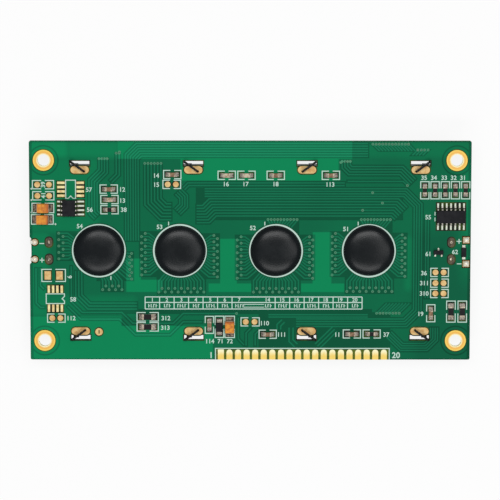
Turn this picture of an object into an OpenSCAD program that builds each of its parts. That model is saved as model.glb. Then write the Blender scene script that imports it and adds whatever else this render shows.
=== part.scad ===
// Graphic display module, lying on the front of its bezel with the back of its circuit board up.
// X runs along the board, Y across it, and z = 0 is the front face of the bezel.

/* [Circuit board] */
// Width of the board
board_w = 130; // [124:0.5:140]
// Height of the board
board_h = 65; // [62:0.5:72]
// Thickness of the board
board_t = 1.6; // [1:0.1:2.4]
// Radius of the board's corners
board_corner_r = 0.5; // [0.2:0.1:1.5]
// Depth of the shallow recess in the left edge
recess_d = 0.5; // [0.4:0.05:1]
// Length of that recess
recess_l = 8.2; // [7.4:0.1:12]
// Thickness of the copper under the green coat
copper_t = 0.04; // [0.02:0.01:0.1]
// Thickness of the finish on bare copper and of the print
finish_t = 0.04; // [0.02:0.01:0.06]

/* [Fixing holes] */
// Diameter of the fixing holes
hole_d = 3.5; // [2.6:0.1:4]
// Diameter of the plated ring round each hole
hole_ring_d = 6.2; // [5:0.1:7]
// Hole centre from the side edge of the board
hole_inset_x = 4.25; // [3.6:0.05:5]
// Hole centre from the top or bottom edge of the board
hole_inset_y = 5.7; // [4:0.05:8]
// Wall of the plating inside the holes
plating_t = 0.1; // [0.05:0.01:0.2]

/* [Edge contacts] */
// Number of contacts on the bottom edge
contact_count = 20; // [8:1:20]
// Pitch of the contacts
contact_pitch = 2.54; // [2:0.01:2.6]
// Width of a contact
contact_w = 1.8; // [1:0.05:1.9]
// Length of a contact
contact_l = 3.05; // [2:0.05:3.2]
// Middle of the contact row from the middle of the board
contact_row_x = 15.47; // [10:0.01:17]

/* [Bezel] */
// Board showing beyond each end of the bezel
bezel_margin_x = 7.95; // [7.2:0.05:10]
// Board showing above and below the bezel
bezel_margin_y = 7.75; // [6:0.05:8.5]
// Thickness of the bezel's sheet
sheet_t = 0.5; // [0.3:0.05:0.7]
// Outside radius of the bezel's bends
bend_r = 0.9; // [0.8:0.05:1.5]
// Width of the bezel's face beside the window
lip_x = 5.05; // [4.5:0.05:8]
// Width of the bezel's face above and below the window
lip_y = 6.25; // [5.8:0.05:8]
// Middle of the inner tabs from the middle of the board
inner_tab_x = 16.7; // [10:0.1:22]
// Middle of the outer tabs from the end of the bezel
outer_tab_inset = 6.95; // [5:0.05:10]
// Height of a tab's head over the board
tab_h = 1.8; // [1:0.1:3]
// Angle that a tab's head is twisted by
tab_turn = 36; // [20:1:60]
// Length of a tab's head towards the middle of the board
tab_in = 3.5; // [2.5:0.1:4]
// Length of a tab's head on its outer side
tab_out = 1.8; // [1:0.1:2.5]
// Width of a tab's neck
neck_w = 1.6; // [1:0.1:2]
// Step of a tab out of the bezel's wall
tab_step = 1; // [0.6:0.1:1.5]
// Length of a tab slot
slot_l = 5.7; // [5.4:0.1:7]
// Width of a tab slot
slot_w = 1.45; // [1.2:0.05:1.8]

/* [Display] */
// Thickness of each glass
glass_t = 1.1; // [0.5:0.1:1.5]
// Thickness of each polariser
polariser_t = 0.2; // [0.1:0.05:0.4]
// Gap between the glass and the bezel
glass_gap = 0.3; // [0.1:0.05:0.6]
// Ledge of the front glass that carries its contacts
ledge = 3; // [2.4:0.1:3.4]
// Width of a contact strip
strip_w = 2; // [1.2:0.1:2.2]

/* [Backlight] */
// Thickness of the light guide
guide_t = 4; // [2.5:0.1:6]
// Thickness of the diffuser sheet
diffuser_t = 0.25; // [0.1:0.05:0.5]
// Thickness of the reflector sheet
reflector_t = 0.2; // [0.1:0.05:0.4]
// Wall of the backlight frame
frame_wall = 1.5; // [1:0.1:2]
// Floor of the backlight frame
frame_floor = 1.2; // [0.8:0.1:2]
// Number of lamps on each lamp board
lamp_count = 6; // [3:1:8]
// Depth of a lamp
lamp_d = 0.9; // [0.6:0.05:1.2]
// Thickness of a lamp board
lamp_board_t = 0.8; // [0.4:0.05:1.2]
// Thickness of a backlight lead
lead_t = 0.25; // [0.2:0.01:0.3]
// Width of a backlight lead
lead_w = 1; // [0.6:0.1:1.4]

/* [Chips] */
// Diameter of the black blobs
blob_d = 14.5; // [10:0.1:16]
// Height of the black blobs
blob_h = 1.7; // [1:0.1:2.5]
// Length of a chip capacitor or resistor
chip_l = 2; // [1.6:0.05:2.2]
// Width of a chip capacitor or resistor
chip_w = 1.25; // [0.8:0.05:1.4]
// Height of a chip capacitor
capacitor_h = 0.9; // [0.5:0.05:1.3]
// Height of a chip resistor
resistor_h = 0.55; // [0.4:0.05:0.8]
// Length of a large chip resistor
long_chip_l = 3.2; // [2.6:0.05:3.4]
// Width of a large chip resistor
long_chip_w = 1.6; // [1.2:0.05:1.7]
// Pitch of the legs of the two larger chips
leg_pitch = 1.27; // [1:0.01:1.27]
// Width of those chips over their bodies
package_w = 3.9; // [3:0.05:4.1]
// Height of those chips
package_h = 1.6; // [1.2:0.05:2]
// Length of a tantalum capacitor
tantalum_l = 3.5; // [3:0.05:3.7]
// Width of a tantalum capacitor
tantalum_w = 2.8; // [2.2:0.05:2.9]
// Height of a tantalum capacitor
tantalum_h = 1.9; // [1.2:0.05:2.5]

/* [Tracks] */
// Width of a fine track
track_w = 0.42; // [0.2:0.01:0.5]
// Gap that the copper fill keeps from a track
fill_gap = 0.35; // [0.2:0.01:0.5]
// Diameter of a coated via
via_d = 0.8; // [0.5:0.05:0.9]
// Width of a printed line
print_w = 0.28; // [0.15:0.01:0.4]

/* [Hidden] */
$fn = 48;
// Clearance of a loose fit and the reach of a cut past a face
loose = 0.1;
past = 1;
round_steps = 5;

// Sizes of the bezel, the display and the backlight, from the outside in
bezel_w = board_w - 2 * bezel_margin_x;
bezel_h = board_h - 2 * bezel_margin_y;
window_w = bezel_w - 2 * lip_x;
window_h = bezel_h - 2 * lip_y;
glass_w = bezel_w - 2 * sheet_t - 2 * glass_gap;
glass_h = bezel_h - 2 * sheet_t - 2 * glass_gap;
frame_h = glass_h - 2 * ledge;
well_w = glass_w - 2 * frame_wall;
well_h = frame_h - 2 * frame_wall;
sheet_w = well_w - 2 * (lamp_board_t + lamp_d + 2 * loose);
sheet_h = well_h - 2 * loose;

// Levels of the stack, from the bezel's face to the parts on the board
front_polariser_z = sheet_t;
front_glass_z = front_polariser_z + polariser_t;
rear_glass_z = front_glass_z + glass_t;
rear_polariser_z = rear_glass_z + glass_t;
diffuser_z = rear_polariser_z + polariser_t;
guide_z = diffuser_z + diffuser_t;
reflector_z = guide_z + guide_t;
frame_floor_z = reflector_z + reflector_t;
board_z = frame_floor_z + frame_floor;
copper_z = board_z + board_t;
coat_z = copper_z + copper_t;
seat_z = coat_z + finish_t;
// The print lies over the rims of the vias
via_t = finish_t / 2;
print_t = finish_t - via_t;
print_z = seat_z - print_t;

// Places measured from the edges of the board
function from_left(d) = -board_w / 2 + d;
function from_right(d) = board_w / 2 - d;
function from_top(d) = board_h / 2 - d;
function from_bottom(d) = -board_h / 2 + d;

hole_x = from_right(hole_inset_x);
hole_y = from_top(hole_inset_y);
tab_xs = [inner_tab_x, bezel_w / 2 - outer_tab_inset];
tab_y = bezel_h / 2 + tab_step - sheet_t / 2;
slot_y = tab_y - sheet_t / 2 - loose + slot_w / 2;
tab_pad_y = slot_y - slot_w / 2 - 1.15;
tab_pad = [5.4, 2.2];
// A neck stands beside the middle of its slot, towards the end of the board
neck_x = 1.3;
tab_corner = 0.4;
// Height that a tab takes for its step, the straight part under the board and the notches beside it
step_h = 1.2;
under_board = 0.5;
tab_notch = 0.4;
corner_relief = 0.8;

// Contacts on the bottom edge, counted from the left
function contact_x(i) = contact_row_x + (i - (contact_count - 1) / 2) * contact_pitch;
contact_rail_y = from_bottom(contact_l + 0.3);
contact_field = [contact_x(0) - 1.6, contact_x(contact_count - 1) + 1.6];

// Backlight leads and the pads that they end on
lead_z = reflector_z - 0.6;
lead_notch_w = 10;
left_joints = [for (y = [-2.54, 2.54]) [from_left(recess_d + 1), y]];
right_joints = [for (y = [-3.85, 3.2]) [from_right(1.35), y]];
pin_hole_d = 1;
spare_hole_x = from_right(5.7);
spare_hole_y = 2.54;
spare_pad = [2, 2.8];
joint_d = 1.7;
joint_pad_d = 1.9;
joint_h = 0.8;

// Black blobs and the white rings round them
first_blob_x = from_left(20.4);
last_blob_x = from_right(30);
blob_shares = [0, 0.3, 0.656, 1];
blob_xs = [for (share = blob_shares) first_blob_x + share * (last_blob_x - first_blob_x)];
ring_d = blob_d + 1.4;
ring_w = 0.5;
// Tick by the first pad of each blob: shift along X, and above or below the ring
first_pad_dx = [3.5, -3.3, -3.3, -3.2];
first_pad_side = [-1, 1, 1, 1];
function over_ring(d) = ring_d / 2 + d;

// Chips: place and turn of each
capacitors = [
    [-22.9, from_top(9.9), 0],
    [-6.9, from_top(10.1), 0],
    [-1.1, from_top(10.1), 0],
    [7.5, from_top(10.1), 0],
    [23.7, from_top(10.1), 0],
    [from_left(23.4), over_ring(10.35), 0],
    [from_left(23.6), over_ring(7.25), 0],
    [5.2, from_bottom(7.6), 0],
    [30.1, from_bottom(7.7), 0],
    [from_right(11.6), from_bottom(13.9), 90],
    [-12.05, from_bottom(10.4), 90]
];
resistor_row = [for (i = [0 : 4]) [from_right(1.65 + 3 * (4 - i)), from_top(14.5), 90]];
resistors = concat(resistor_row, [
    [from_left(23.6), over_ring(4.25), 0],
    [35.95, from_bottom(7.7), 0]
]);
long_resistors = [
    [-30.3, from_bottom(12.8), 0],
    [-30.3, from_bottom(9.8), 0],
    [from_right(5.65), from_bottom(14.4), 90],
    [from_right(2.3), from_bottom(14.4), 90]
];
tantalums = [
    [from_left(4), from_top(19.8), 0],
    [from_left(3.8), from_top(23.2), 0],
    [-6.05, from_bottom(9.8), 90]
];
moulded = [-9.1, from_bottom(9.8), 90];
moulded_size = [2.8, 2.1, 1.6];
amplifier = [from_left(11.65), from_top(19.8), 0];
logic = [from_right(5.9), from_top(22.3), 90];
transistor = [from_right(9.5), -0.4, 90];
diode = [from_right(2.05), -0.35, 90];
diode_size = [2.8, 1.5, 1.1];

// Leg shapes: reach from the middle, height of the shoulder and thickness
leg_reach = 3;
leg_t = 0.2;
leg_w = 0.42;
standoff = 0.12;
draft = 0.14;

// Empty footprints: place, turn and distance between the two pads
spare_pairs = [
    [from_left(4.1), from_top(12.9), 3.45],
    [from_left(4.15), from_top(16.2), 3.45],
    [-23.05, from_top(12.8), 2.4],
    [from_left(7.7), from_bottom(12.4), 2.4],
    [0, from_bottom(11.3), 2.6],
    [from_right(9.1), -6.4, 2.4],
    [from_right(9.1), -9.6, 2.4],
    [from_right(9.1), -12.7, 2.4]
];
spare_pad_d = 1.7;
coil_pads = [from_left(7), -7.35, 3.45];
coil_pad = [1.9, 2.5];
spare_amplifier = [from_left(12.2), from_top(14.25), 0];
spare_memory = [from_left(7.45), -14.3, 90];
amplifier_pads = [from_left(12.2), amplifier[1], 0];
leg_pad = [2.2, 0.7];
leg_pad_x = 2.83;
test_pad = [from_left(20.3), from_bottom(8.3)];
test_pad_d = 2.2;

// Length of the printed frames beyond chips, moulded capacitors and empty pairs of pads
chip_room = 3.1;
moulded_room = 2.9;
pair_room = 2.8;
coil_room = 3.5;

// Pin table on the board
table_x = contact_row_x - 14.45;
table_w = 64.1;
table_ys = [from_bottom(18.75), from_bottom(17.1), from_bottom(15.15)];
table_cell = 4.28;

// Runs of tracks: points of the middle line, number of tracks, pitch, and which ends have vias
top_runs = [
    [[[from_right(30.4), from_top(2.6)], [from_left(32.3), from_top(2.6)], [from_left(30.2), from_top(4.7)],
        [from_left(30.2), 3]], 6, 0.75, 0],
    [[[from_left(21.8), from_top(5.2)], [from_left(21.8), from_top(8.9)], [from_left(18.8), from_top(11.9)],
        [from_left(18.8), 11.4], [from_left(20), 10.2]], 4, 0.8, 1],
    [[[from_left(26.1), from_top(3.6)], [from_left(26.1), from_top(9.9)],
        [from_left(24), from_top(12)]], 2, 0.9, 1],
    [[[-28.6, from_top(6.6)], [-28.6, 14.6], [-25.6, 11.6], [-23.2, 11.6]], 6, 0.95, 1],
    [[[-21.2, 17.6], [-19.6, 16], [-19.6, 13.4], [-21.4, 11.6]], 4, 0.75, 0],
    [[[-19.6, 18.35], [-18.2, 19.75], [27.8, 19.75]], 2, 0.8, 0],
    [[[28.6, from_top(11.9)], [from_right(20), from_top(11.9)], [from_right(18.8), from_top(13.1)]], 1, 1, 2],
    [[[-15.8, 10.9], [-13, 10.9], [-11, 12.9], [from_right(22.4), 12.9],
        [from_right(20.6), 11.1]], 7, 0.85, 0],
    [[[-13.4, 17.3], [from_right(19.4), 17.3], [from_right(15.6), 13.5],
        [from_right(15.6), from_bottom(14.6)], [from_right(19.15), from_bottom(11.05)],
        [13.6, from_bottom(11.05)]], 4, 0.75, 0],
    [[[from_right(12.9), 9.4], [from_right(12.9), from_bottom(18.4)]], 2, 0.75, 0],
    [[[from_right(36.8), from_top(6)], [from_right(36.8), from_top(7.5)], [from_right(35.6), from_top(8.7)],
        [from_right(20.6), from_top(8.7)], [from_right(17.2), from_top(12.1)]], 4, 0.8, 1]
];
bottom_runs = [
    [[[from_left(12.2), -4.6], [from_left(12.2), from_bottom(17.3)], [from_left(15.4), from_bottom(14.1)],
        [-37.9, from_bottom(14.1)], [-34.7, from_bottom(10.9)], [-22.7, from_bottom(10.9)],
        [-19.8, from_bottom(13.8)], [-4, from_bottom(13.8)]], 1, 1, 2],
    [[[from_left(11.1), from_bottom(15.9)], [from_left(14.9), from_bottom(12.1)], [-38.6, from_bottom(12.1)],
        [-33.9, from_bottom(7.4)], [-23.7, from_bottom(7.4)], [-19.8, from_bottom(11.3)],
        [-14.2, from_bottom(11.3)]], 1, 1, 0],
    [[[from_left(14.4), -6], [from_left(14.4), from_bottom(19)], [from_left(17.4), from_bottom(16)],
        [-33.4, from_bottom(16)]], 3, 0.9, 0],
    [[[from_left(1.8), -5.2], [from_left(1.8), -15.6], [from_left(3.1), -16.9],
        [from_left(4.2), -16.9]], 1, 1, 0],
    [[[from_left(3.1), -5.2], [from_left(3.1), -10.4], [from_left(4.1), -11.4]], 1, 1, 0],
    [[[from_right(24), from_bottom(7.6)], [from_right(20.2), from_bottom(3.8)],
        [from_right(13), from_bottom(3.8)], [from_right(10.6), from_bottom(6.2)],
        [from_right(10.6), from_bottom(9.6)]], 4, 0.7, 0],
    [[[5.4, from_bottom(13.1)], [34.8, from_bottom(13.1)]], 2, 0.7, 0],
    [[[8.5, from_bottom(9)], [8.5, from_bottom(10.3)], [9.8, from_bottom(11.6)]], 2, 1.1, 0],
    [[[13.6, from_bottom(4.2)], [12.1, from_bottom(5.7)], [12.1, from_bottom(9.6)]], 2, 1.2, 0],
    [[[19.9, from_bottom(4)], [25, from_bottom(9.1)]], 3, 0.95, 0],
    [[[-3.5, from_bottom(12.6)], [-3.5, from_bottom(6.2)], [-1.8, from_bottom(4.4)]], 1, 1, 0],
    [[[-1.2, from_bottom(4.2)], [-1.2, from_bottom(8)], [0.2, from_bottom(9.4)]], 1, 1, 0],
    [[[1.5, from_bottom(4.2)], [1.5, from_bottom(7.6)], [2.4, from_bottom(8.5)]], 1, 1, 0]
];
runs = concat(top_runs, bottom_runs);
// Rows of slanted tracks: both ends of the first, number and step along X
slants = [
    [[from_right(29), from_top(0.9)], [from_right(27), from_top(2.9)], 12, 0.95],
    [[from_right(15.8), from_top(2.6)], [from_right(17.4), from_top(4.2)], 4, 1],
    [[from_right(27.6), from_bottom(13.9)], [from_right(24.6), from_bottom(16.9)], 8, 0.95]
];

lone_vias = [
    [33.1, 12.05], [36, 17.25], [38.9, 14.2], [-38.4, from_top(3.2)], [from_right(38.4), from_top(6.3)]
];

// Places that have no copper fill: middle and size of each
bare_fields = [
    [[-5, from_bottom(14.4)], [82, 1.5]],
    [[22, from_bottom(8.9)], [39, 10.6]],
    [[14.5, 13.9], [61, 9.6]]
];

// Short tracks that fan out of a blob to its sides: blob, side, number, share of the free width, shift
comb_pitch = 0.95;
comb_start = ring_d / 2 + 0.25;
// Pitch at the blob as a share of the pitch at the vias
comb_root = 0.72;
// Every other short track is shorter by this share, so that the vias stand in two rows
comb_step = 0.33;
side_combs = [
    [0, -1, 9, 0.43, 1.4],
    [0, 1, 9, 0.21, -4.6],
    [1, -1, 14, 0.42, -1],
    [1, 1, 14, 0.25, -1.6],
    [2, -1, 14, 0.28, -2],
    [2, 1, 14, 0.25, -2],
    [3, -1, 14, 0.25, -1],
    [3, 1, 14, 0.3, -1.4]
];
// The same below and above: blob, side, number, reach past the ring, shift and length of the step
end_combs = [
    [0, -1, 7, 3.65, 3.9, 1.1],
    [1, -1, 15, 4.35, 0.4, 1.1],
    [2, -1, 15, 4.35, 0, 1.1],
    [3, -1, 15, 4.15, 0.2, 1.1],
    [2, 1, 10, 1.35, 1.9, 0],
    [3, 1, 10, 1.35, 2, 0]
];
// Free width beside the outer rings, and between two rings
end_space = 9;
function space(i, s) =
    let (j = i + s) j < 0 || j >= len(blob_xs) ? end_space : abs(blob_xs[j] - blob_xs[i]) - ring_d;
function comb_far(c) = c[3] * space(c[0], c[1]);
function comb_reach(c, i) = ring_d / 2 + comb_far(c) * (1 - (i % 2) * comb_step);
function fan_reach(c, i) = ring_d / 2 + c[3] - (i % 2) * c[5];
function beside(c, i) = c[4] + (i - (c[2] - 1) / 2) * comb_pitch;

function numbered(name, n) = [for (i = [1 : n]) str(name, "_", i)];
blob_names = numbered("driver_blob", len(blob_xs));
capacitor_names = numbered("capacitor", len(capacitors));
resistor_names = numbered("resistor", len(resistors) + len(long_resistors));
tantalum_names = numbered("tantalum", len(tantalums));

// Points of an arc about c
function arc(c, r, from, to) =
    [for (i = [0 : round_steps]) c + r * [cos(from + (to - from) * i / round_steps),
                                          sin(from + (to - from) * i / round_steps)]];

// Outline of a rectangle about the origin with round corners
function rounded(w, h, r) = concat(
    arc([w / 2 - r, h / 2 - r], r, 0, 90),
    arc([r - w / 2, h / 2 - r], r, 90, 180),
    arc([r - w / 2, r - h / 2], r, 180, 270),
    arc([w / 2 - r, r - h / 2], r, 270, 360)
);

// Outline of an oblong with round ends
function oblong(l, w) = rounded(l, w, w / 2 - 0.01);

// Line through points p moved sideways by d, with its corners kept
function unit(v) = v / norm(v);
function side(p, i) = let (v = unit(p[i + 1] - p[i])) [-v[1], v[0]];
function shifted(p, d) = [
    for (i = [0 : len(p) - 1])
        let (a = side(p, max(i - 1, 0)), b = side(p, min(i, len(p) - 2)), m = a + b)
        p[i] + m * 2 * d / (m * m)
];
function reversed(p) = [for (i = [len(p) - 1 : -1 : 0]) p[i]];

// Line through points p made longer by d at both ends
function longer(p, d) =
    let (n = len(p))
    concat([p[0] - d * unit(p[1] - p[0])],
           [for (i = [1 : 1 : n - 2]) p[i]],
           [p[n - 1] + d * unit(p[n - 1] - p[n - 2])]);

// Closed outline p moved inwards by d, where p runs anticlockwise
function inset(p, d) = [
    for (i = [0 : len(p) - 1])
        let (n = len(p), q = [p[(i + n - 1) % n], p[i], p[(i + 1) % n]]) shifted(q, d)[1]
];
function lane(run, i) = shifted(run[0], (i - (run[1] - 1) / 2) * run[2]);

// Flat strip of width w along the points p
module strip(p, w) {
    polygon(concat(shifted(p, w / 2), reversed(shifted(p, -w / 2))));
}

// Child moved to a place on the board and turned
module placed(place, z) {
    translate([place[0], place[1], z]) rotate(place[2]) children();
}

// Child once in each quarter of the board
module mirrored_quarters() {
    for (sx = [0, 1], sy = [0, 1])
        mirror([sx, 0, 0]) mirror([0, sy, 0]) children();
}

// Box about the Z axis that stands on z = 0
module block(size) {
    translate([-size[0] / 2, -size[1] / 2, 0]) cube(size);
}

function board_outline() = concat(
    arc([from_right(board_corner_r), from_top(board_corner_r)], board_corner_r, 0, 90),
    arc([from_left(board_corner_r), from_top(board_corner_r)], board_corner_r, 90, 180),
    [[from_left(0), recess_l / 2], [from_left(recess_d), recess_l / 2 - recess_d],
     [from_left(recess_d), recess_d - recess_l / 2], [from_left(0), -recess_l / 2]],
    arc([from_left(board_corner_r), from_bottom(board_corner_r)], board_corner_r, 180, 270),
    arc([from_right(board_corner_r), from_bottom(board_corner_r)], board_corner_r, 270, 360)
);

// Everything that goes through the board, as deep as h
module board_openings(h, wider) {
    mirrored_quarters() {
        translate([hole_x, hole_y, 0]) cylinder(d = hole_d + 2 * plating_t + wider, h = h);
        translate([spare_hole_x, spare_hole_y, 0]) cylinder(d = pin_hole_d + 2 * plating_t + wider, h = h);
        for (x = tab_xs)
            translate([x, slot_y, 0]) block([slot_l + wider, slot_w + wider, h]);
    }
    for (p = right_joints)
        translate([p[0], p[1], 0]) cylinder(d = pin_hole_d + wider, h = h);
}

module circuit_board() {
    color("#0c5c3c") difference() {
        translate([0, 0, board_z]) linear_extrude(board_t) polygon(board_outline());
        translate([0, 0, board_z - past]) board_openings(board_t + 2 * past, 0);
    }
}

// Clear width round a run of tracks
function run_field(run) = (run[1] - 1) * run[2] + track_w + 2 * fill_gap;

function slant_field(r) =
    let (m = [track_w + fill_gap, 0], far = [(r[2] - 1) * r[3], 0], end = fill_gap * unit(r[1] - r[0]))
    [r[0] - m - end, r[0] + far + m - end, r[1] + far + m + end, r[1] - m + end];

// Height of a blob's edge at the distance d from its middle line
function blob_edge(d) = abs(d) < comb_start ? sqrt(comb_start * comb_start - d * d) : 0;

// Short track from the blob's edge out to the distance reach, ending d beside the middle line
function fan_track(d, reach) =
    let (root = comb_root * d, edge = blob_edge(root), bend = edge + abs(d - root) + fill_gap)
    [[edge, root], [min(bend, max(reach - fill_gap, (edge + reach) / 2)), d], [reach, d]];

// Copper fill, cut back round the tracks, the blobs and all openings
module ground_fill() {
    edge = 0.35;
    color("#067e4a") translate([0, 0, copper_z]) difference() {
        linear_extrude(copper_t)
            polygon(rounded(board_w - 2 * (recess_d + edge), board_h - 2 * edge, board_corner_r));
        translate([0, 0, -past]) fill_cuts(copper_t + 2 * past);
    }
}

module fill_cuts(h) {
    board_openings(h, 2 * fill_gap);
    for (run = runs)
        linear_extrude(h) strip(longer(run[0], fill_gap), run_field(run));
    for (r = slants)
        linear_extrude(h) polygon(slant_field(r));
    for (f = bare_fields)
        translate([f[0][0], f[0][1], 0]) block([f[1][0], f[1][1], h]);
    for (x = blob_xs)
        translate([x, 0, 0]) cylinder(d = ring_d + 2 * fill_gap, h = h);
    for (c = side_combs)
        let (l = comb_reach(c, 0)) translate([blob_xs[c[0]] + c[1] * l / 2, c[4], 0])
            block([l + 2 * fill_gap + via_d, c[2] * comb_pitch + fill_gap, h]);
    for (c = end_combs)
        let (l = fan_reach(c, 0)) translate([blob_xs[c[0]] + c[4], c[1] * l / 2, 0])
            block([c[2] * comb_pitch + fill_gap, l + 2 * fill_gap + via_d, h]);
    translate([(contact_field[0] + contact_field[1]) / 2, from_bottom(0), 0])
        block([contact_field[1] - contact_field[0], 2 * (contact_l + 0.3), h]);
    mirrored_quarters() translate([hole_x, hole_y, 0]) difference() {
        cylinder(d = hole_ring_d + 2.8, h = h);
        translate([0, 0, -past]) cylinder(d = hole_ring_d + 2, h = h + 2 * past);
    }
}

module copper_tracks() {
    color("#2a8a5c") translate([0, 0, copper_z]) linear_extrude(copper_t) {
        for (run = runs, i = [0 : run[1] - 1])
            strip(lane(run, i), track_w);
        for (r = slants, i = [0 : r[2] - 1])
            let (step = [i * r[3], 0]) strip([r[0] + step, r[1] + step], track_w);
        for (c = side_combs, i = [0 : c[2] - 1])
            translate([blob_xs[c[0]], 0]) mirror([1 - c[1], 0])
                strip(fan_track(beside(c, i), comb_reach(c, i)), track_w);
        for (c = end_combs, i = [0 : c[2] - 1])
            translate([blob_xs[c[0]], 0]) rotate(c[1] * 90)
                strip(fan_track(-c[1] * beside(c, i), fan_reach(c, i)), track_w);
    }
}

module via() {
    cylinder(d = via_d, h = via_t);
}

module plated_vias() {
    color("#5aa47c") translate([0, 0, coat_z]) {
        for (run = runs, i = [0 : run[1] - 1])
            let (p = lane(run, i)) {
                if (run[3] % 2 == 1) translate(p[0]) via();
                if (run[3] > 1) translate(p[len(p) - 1]) via();
            }
        for (r = slants, i = [0 : r[2] - 1])
            translate(r[0] + [i * r[3], 0]) via();
        for (c = side_combs, i = [0 : c[2] - 1])
            translate([blob_xs[c[0]] + c[1] * comb_reach(c, i), beside(c, i), 0]) via();
        for (c = end_combs, i = [0 : c[2] - 1])
            translate([blob_xs[c[0]] + beside(c, i), c[1] * fan_reach(c, i), 0]) via();
        for (p = lone_vias)
            translate(p) via();
    }
}

// Two brackets that frame a chip, open in the middle of its long sides
module print_frame(l, w) {
    gap = 1.1;
    for (s = [-1, 1])
        strip([[s * gap / 2, w / 2], [s * l / 2, w / 2],
               [s * l / 2, -w / 2], [s * gap / 2, -w / 2]], print_w);
}

// Outline of an empty chip, with a notch at one end
module print_package(l, w) {
    notch = 0.7;
    outline = [[notch, -l / 2], [w / 2, -l / 2], [w / 2, l / 2], [-w / 2, l / 2], [-w / 2, -l / 2],
               [-notch, -l / 2], [0, notch - l / 2]];
    difference() {
        polygon(inset(outline, -print_w / 2));
        polygon(inset(outline, print_w / 2));
    }
}

module print_table() {
    for (y = table_ys)
        strip([[table_x - table_w / 2, y], [table_x + table_w / 2, y]], print_w);
    for (s = [-1, 1], i = [0 : 6])
        let (x = table_x + s * (table_w / 2 - i * table_cell))
            strip([[x, table_ys[0]], [x, table_ys[2]]], print_w);
}

module legend_print() {
    frame_w = chip_w + 1.2;
    chip_frame = [chip_l + chip_room, frame_w];
    long_frame = [long_chip_l + chip_room, long_chip_w + 0.95];
    tick_l = 1.1;
    color("#c8ebdc") {
        translate([0, 0, print_z]) linear_extrude(print_t) {
            print_table();
            strip([[contact_field[0], from_bottom(0)], [contact_field[0], contact_rail_y],
                   [contact_field[1], contact_rail_y], [contact_field[1], from_bottom(0)]], print_w);
        }
        for (p = concat(capacitors, resistors))
            placed(p, print_z) linear_extrude(print_t) print_frame(chip_frame[0], chip_frame[1]);
        for (p = long_resistors)
            placed(p, print_z) linear_extrude(print_t) print_frame(long_frame[0], long_frame[1]);
        for (p = tantalums)
            placed(p, print_z) linear_extrude(print_t) print_frame(tantalum_l + moulded_room, tantalum_w);
        placed(moulded, print_z) linear_extrude(print_t)
            print_frame(tantalum_l + moulded_room, moulded_size[1] + 0.4);
        for (p = spare_pairs)
            placed([p[0], p[1], 0], print_z) linear_extrude(print_t) print_frame(p[2] + pair_room, frame_w);
        placed([coil_pads[0], coil_pads[1], 0], print_z) linear_extrude(print_t)
            print_frame(coil_pads[2] + coil_room, coil_pad[1] + 1.1);
        for (p = [spare_amplifier, spare_memory])
            placed(p, print_z) linear_extrude(print_t) print_package(4 * leg_pitch + 0.3, 2.9);
        for (i = [0 : len(blob_xs) - 1])
            translate([blob_xs[i] + first_pad_dx[i], first_pad_side[i] * (ring_d / 2 + 0.15), print_z])
                block([print_w, tick_l, print_t]);
        for (y = [-0.85, 0.85])
            placed([logic[0], logic[1] + y, 0], print_z)
                translate([-3.5 * leg_pitch - 0.25, 0, 0]) block([print_w, tick_l, print_t]);
        for (x = blob_xs)
            translate([x, 0, print_z]) difference() {
                cylinder(d = ring_d, h = print_t, $fn = 96);
                translate([0, 0, -past])
                    cylinder(d = ring_d - 2 * ring_w, h = print_t + 2 * past, $fn = 96);
            }
    }
}

// Inner end of a contact: square for the first, round for the others
function contact_end(i) = i == 0 ?
    [for (s = [1, -1]) [s * contact_w / 2, contact_l]] :
    arc([0, contact_l - contact_w / 2], contact_w / 2, 0, 180);

module edge_contacts() {
    color("#f0d878") for (i = [0 : contact_count - 1])
        translate([contact_x(i), from_bottom(0), coat_z]) linear_extrude(finish_t)
            polygon(concat([[contact_w / 2, 0]], contact_end(i), [[-contact_w / 2, 0]]));
}

// Plated ring on both faces of the board, joined through the hole
module eyelet(hole) {
    difference() {
        union() {
            translate([0, 0, coat_z]) linear_extrude(finish_t) children();
            translate([0, 0, board_z - finish_t]) linear_extrude(finish_t) children();
            translate([0, 0, board_z - finish_t])
                cylinder(d = hole + 2 * plating_t, h = seat_z - board_z + finish_t);
        }
        translate([0, 0, board_z - past]) cylinder(d = hole, h = board_t + 3 * past);
    }
}

module mounting_eyelets() {
    color("#e8c050") mirrored_quarters() translate([hole_x, hole_y, 0])
        eyelet(hole_d) circle(d = hole_ring_d, $fn = 96);
}

// Pads for the legs of a chip with n legs a side
module leg_pads(n) {
    for (s = [-1, 1], i = [0 : n - 1])
        translate([s * leg_pad_x, (i - (n - 1) / 2) * leg_pitch, 0])
            block([leg_pad[0], leg_pad[1], finish_t]);
}

module bare_pads() {
    color("#d8b478") {
        mirrored_quarters() {
            for (x = tab_xs)
                translate([x, tab_pad_y, coat_z]) linear_extrude(finish_t)
                    polygon(oblong(tab_pad[0], tab_pad[1]));
            translate([spare_hole_x, spare_hole_y, 0])
                eyelet(pin_hole_d) polygon(rounded(spare_pad[0], spare_pad[1], 0.95));
        }
        for (p = spare_pairs, s = [-1, 1])
            translate([p[0] + s * p[2] / 2, p[1], coat_z]) cylinder(d = spare_pad_d, h = finish_t);
        for (s = [-1, 1])
            translate([coil_pads[0] + s * coil_pads[2] / 2, coil_pads[1], coat_z])
                block([coil_pad[0], coil_pad[1], finish_t]);
        for (p = [spare_amplifier, spare_memory, amplifier_pads])
            placed(p, coat_z) leg_pads(4);
        placed(logic, coat_z) leg_pads(7);
        translate([test_pad[0], test_pad[1], coat_z]) cylinder(d = test_pad_d, h = finish_t);
        for (p = left_joints)
            translate([p[0], p[1], coat_z]) cylinder(d = joint_pad_d, h = finish_t);
        for (p = right_joints)
            translate([p[0], p[1], coat_z]) difference() {
                block([joint_pad_d, joint_pad_d, finish_t]);
                translate([0, 0, -past]) cylinder(d = pin_hole_d, h = 2 * past);
            }
    }
}

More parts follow.
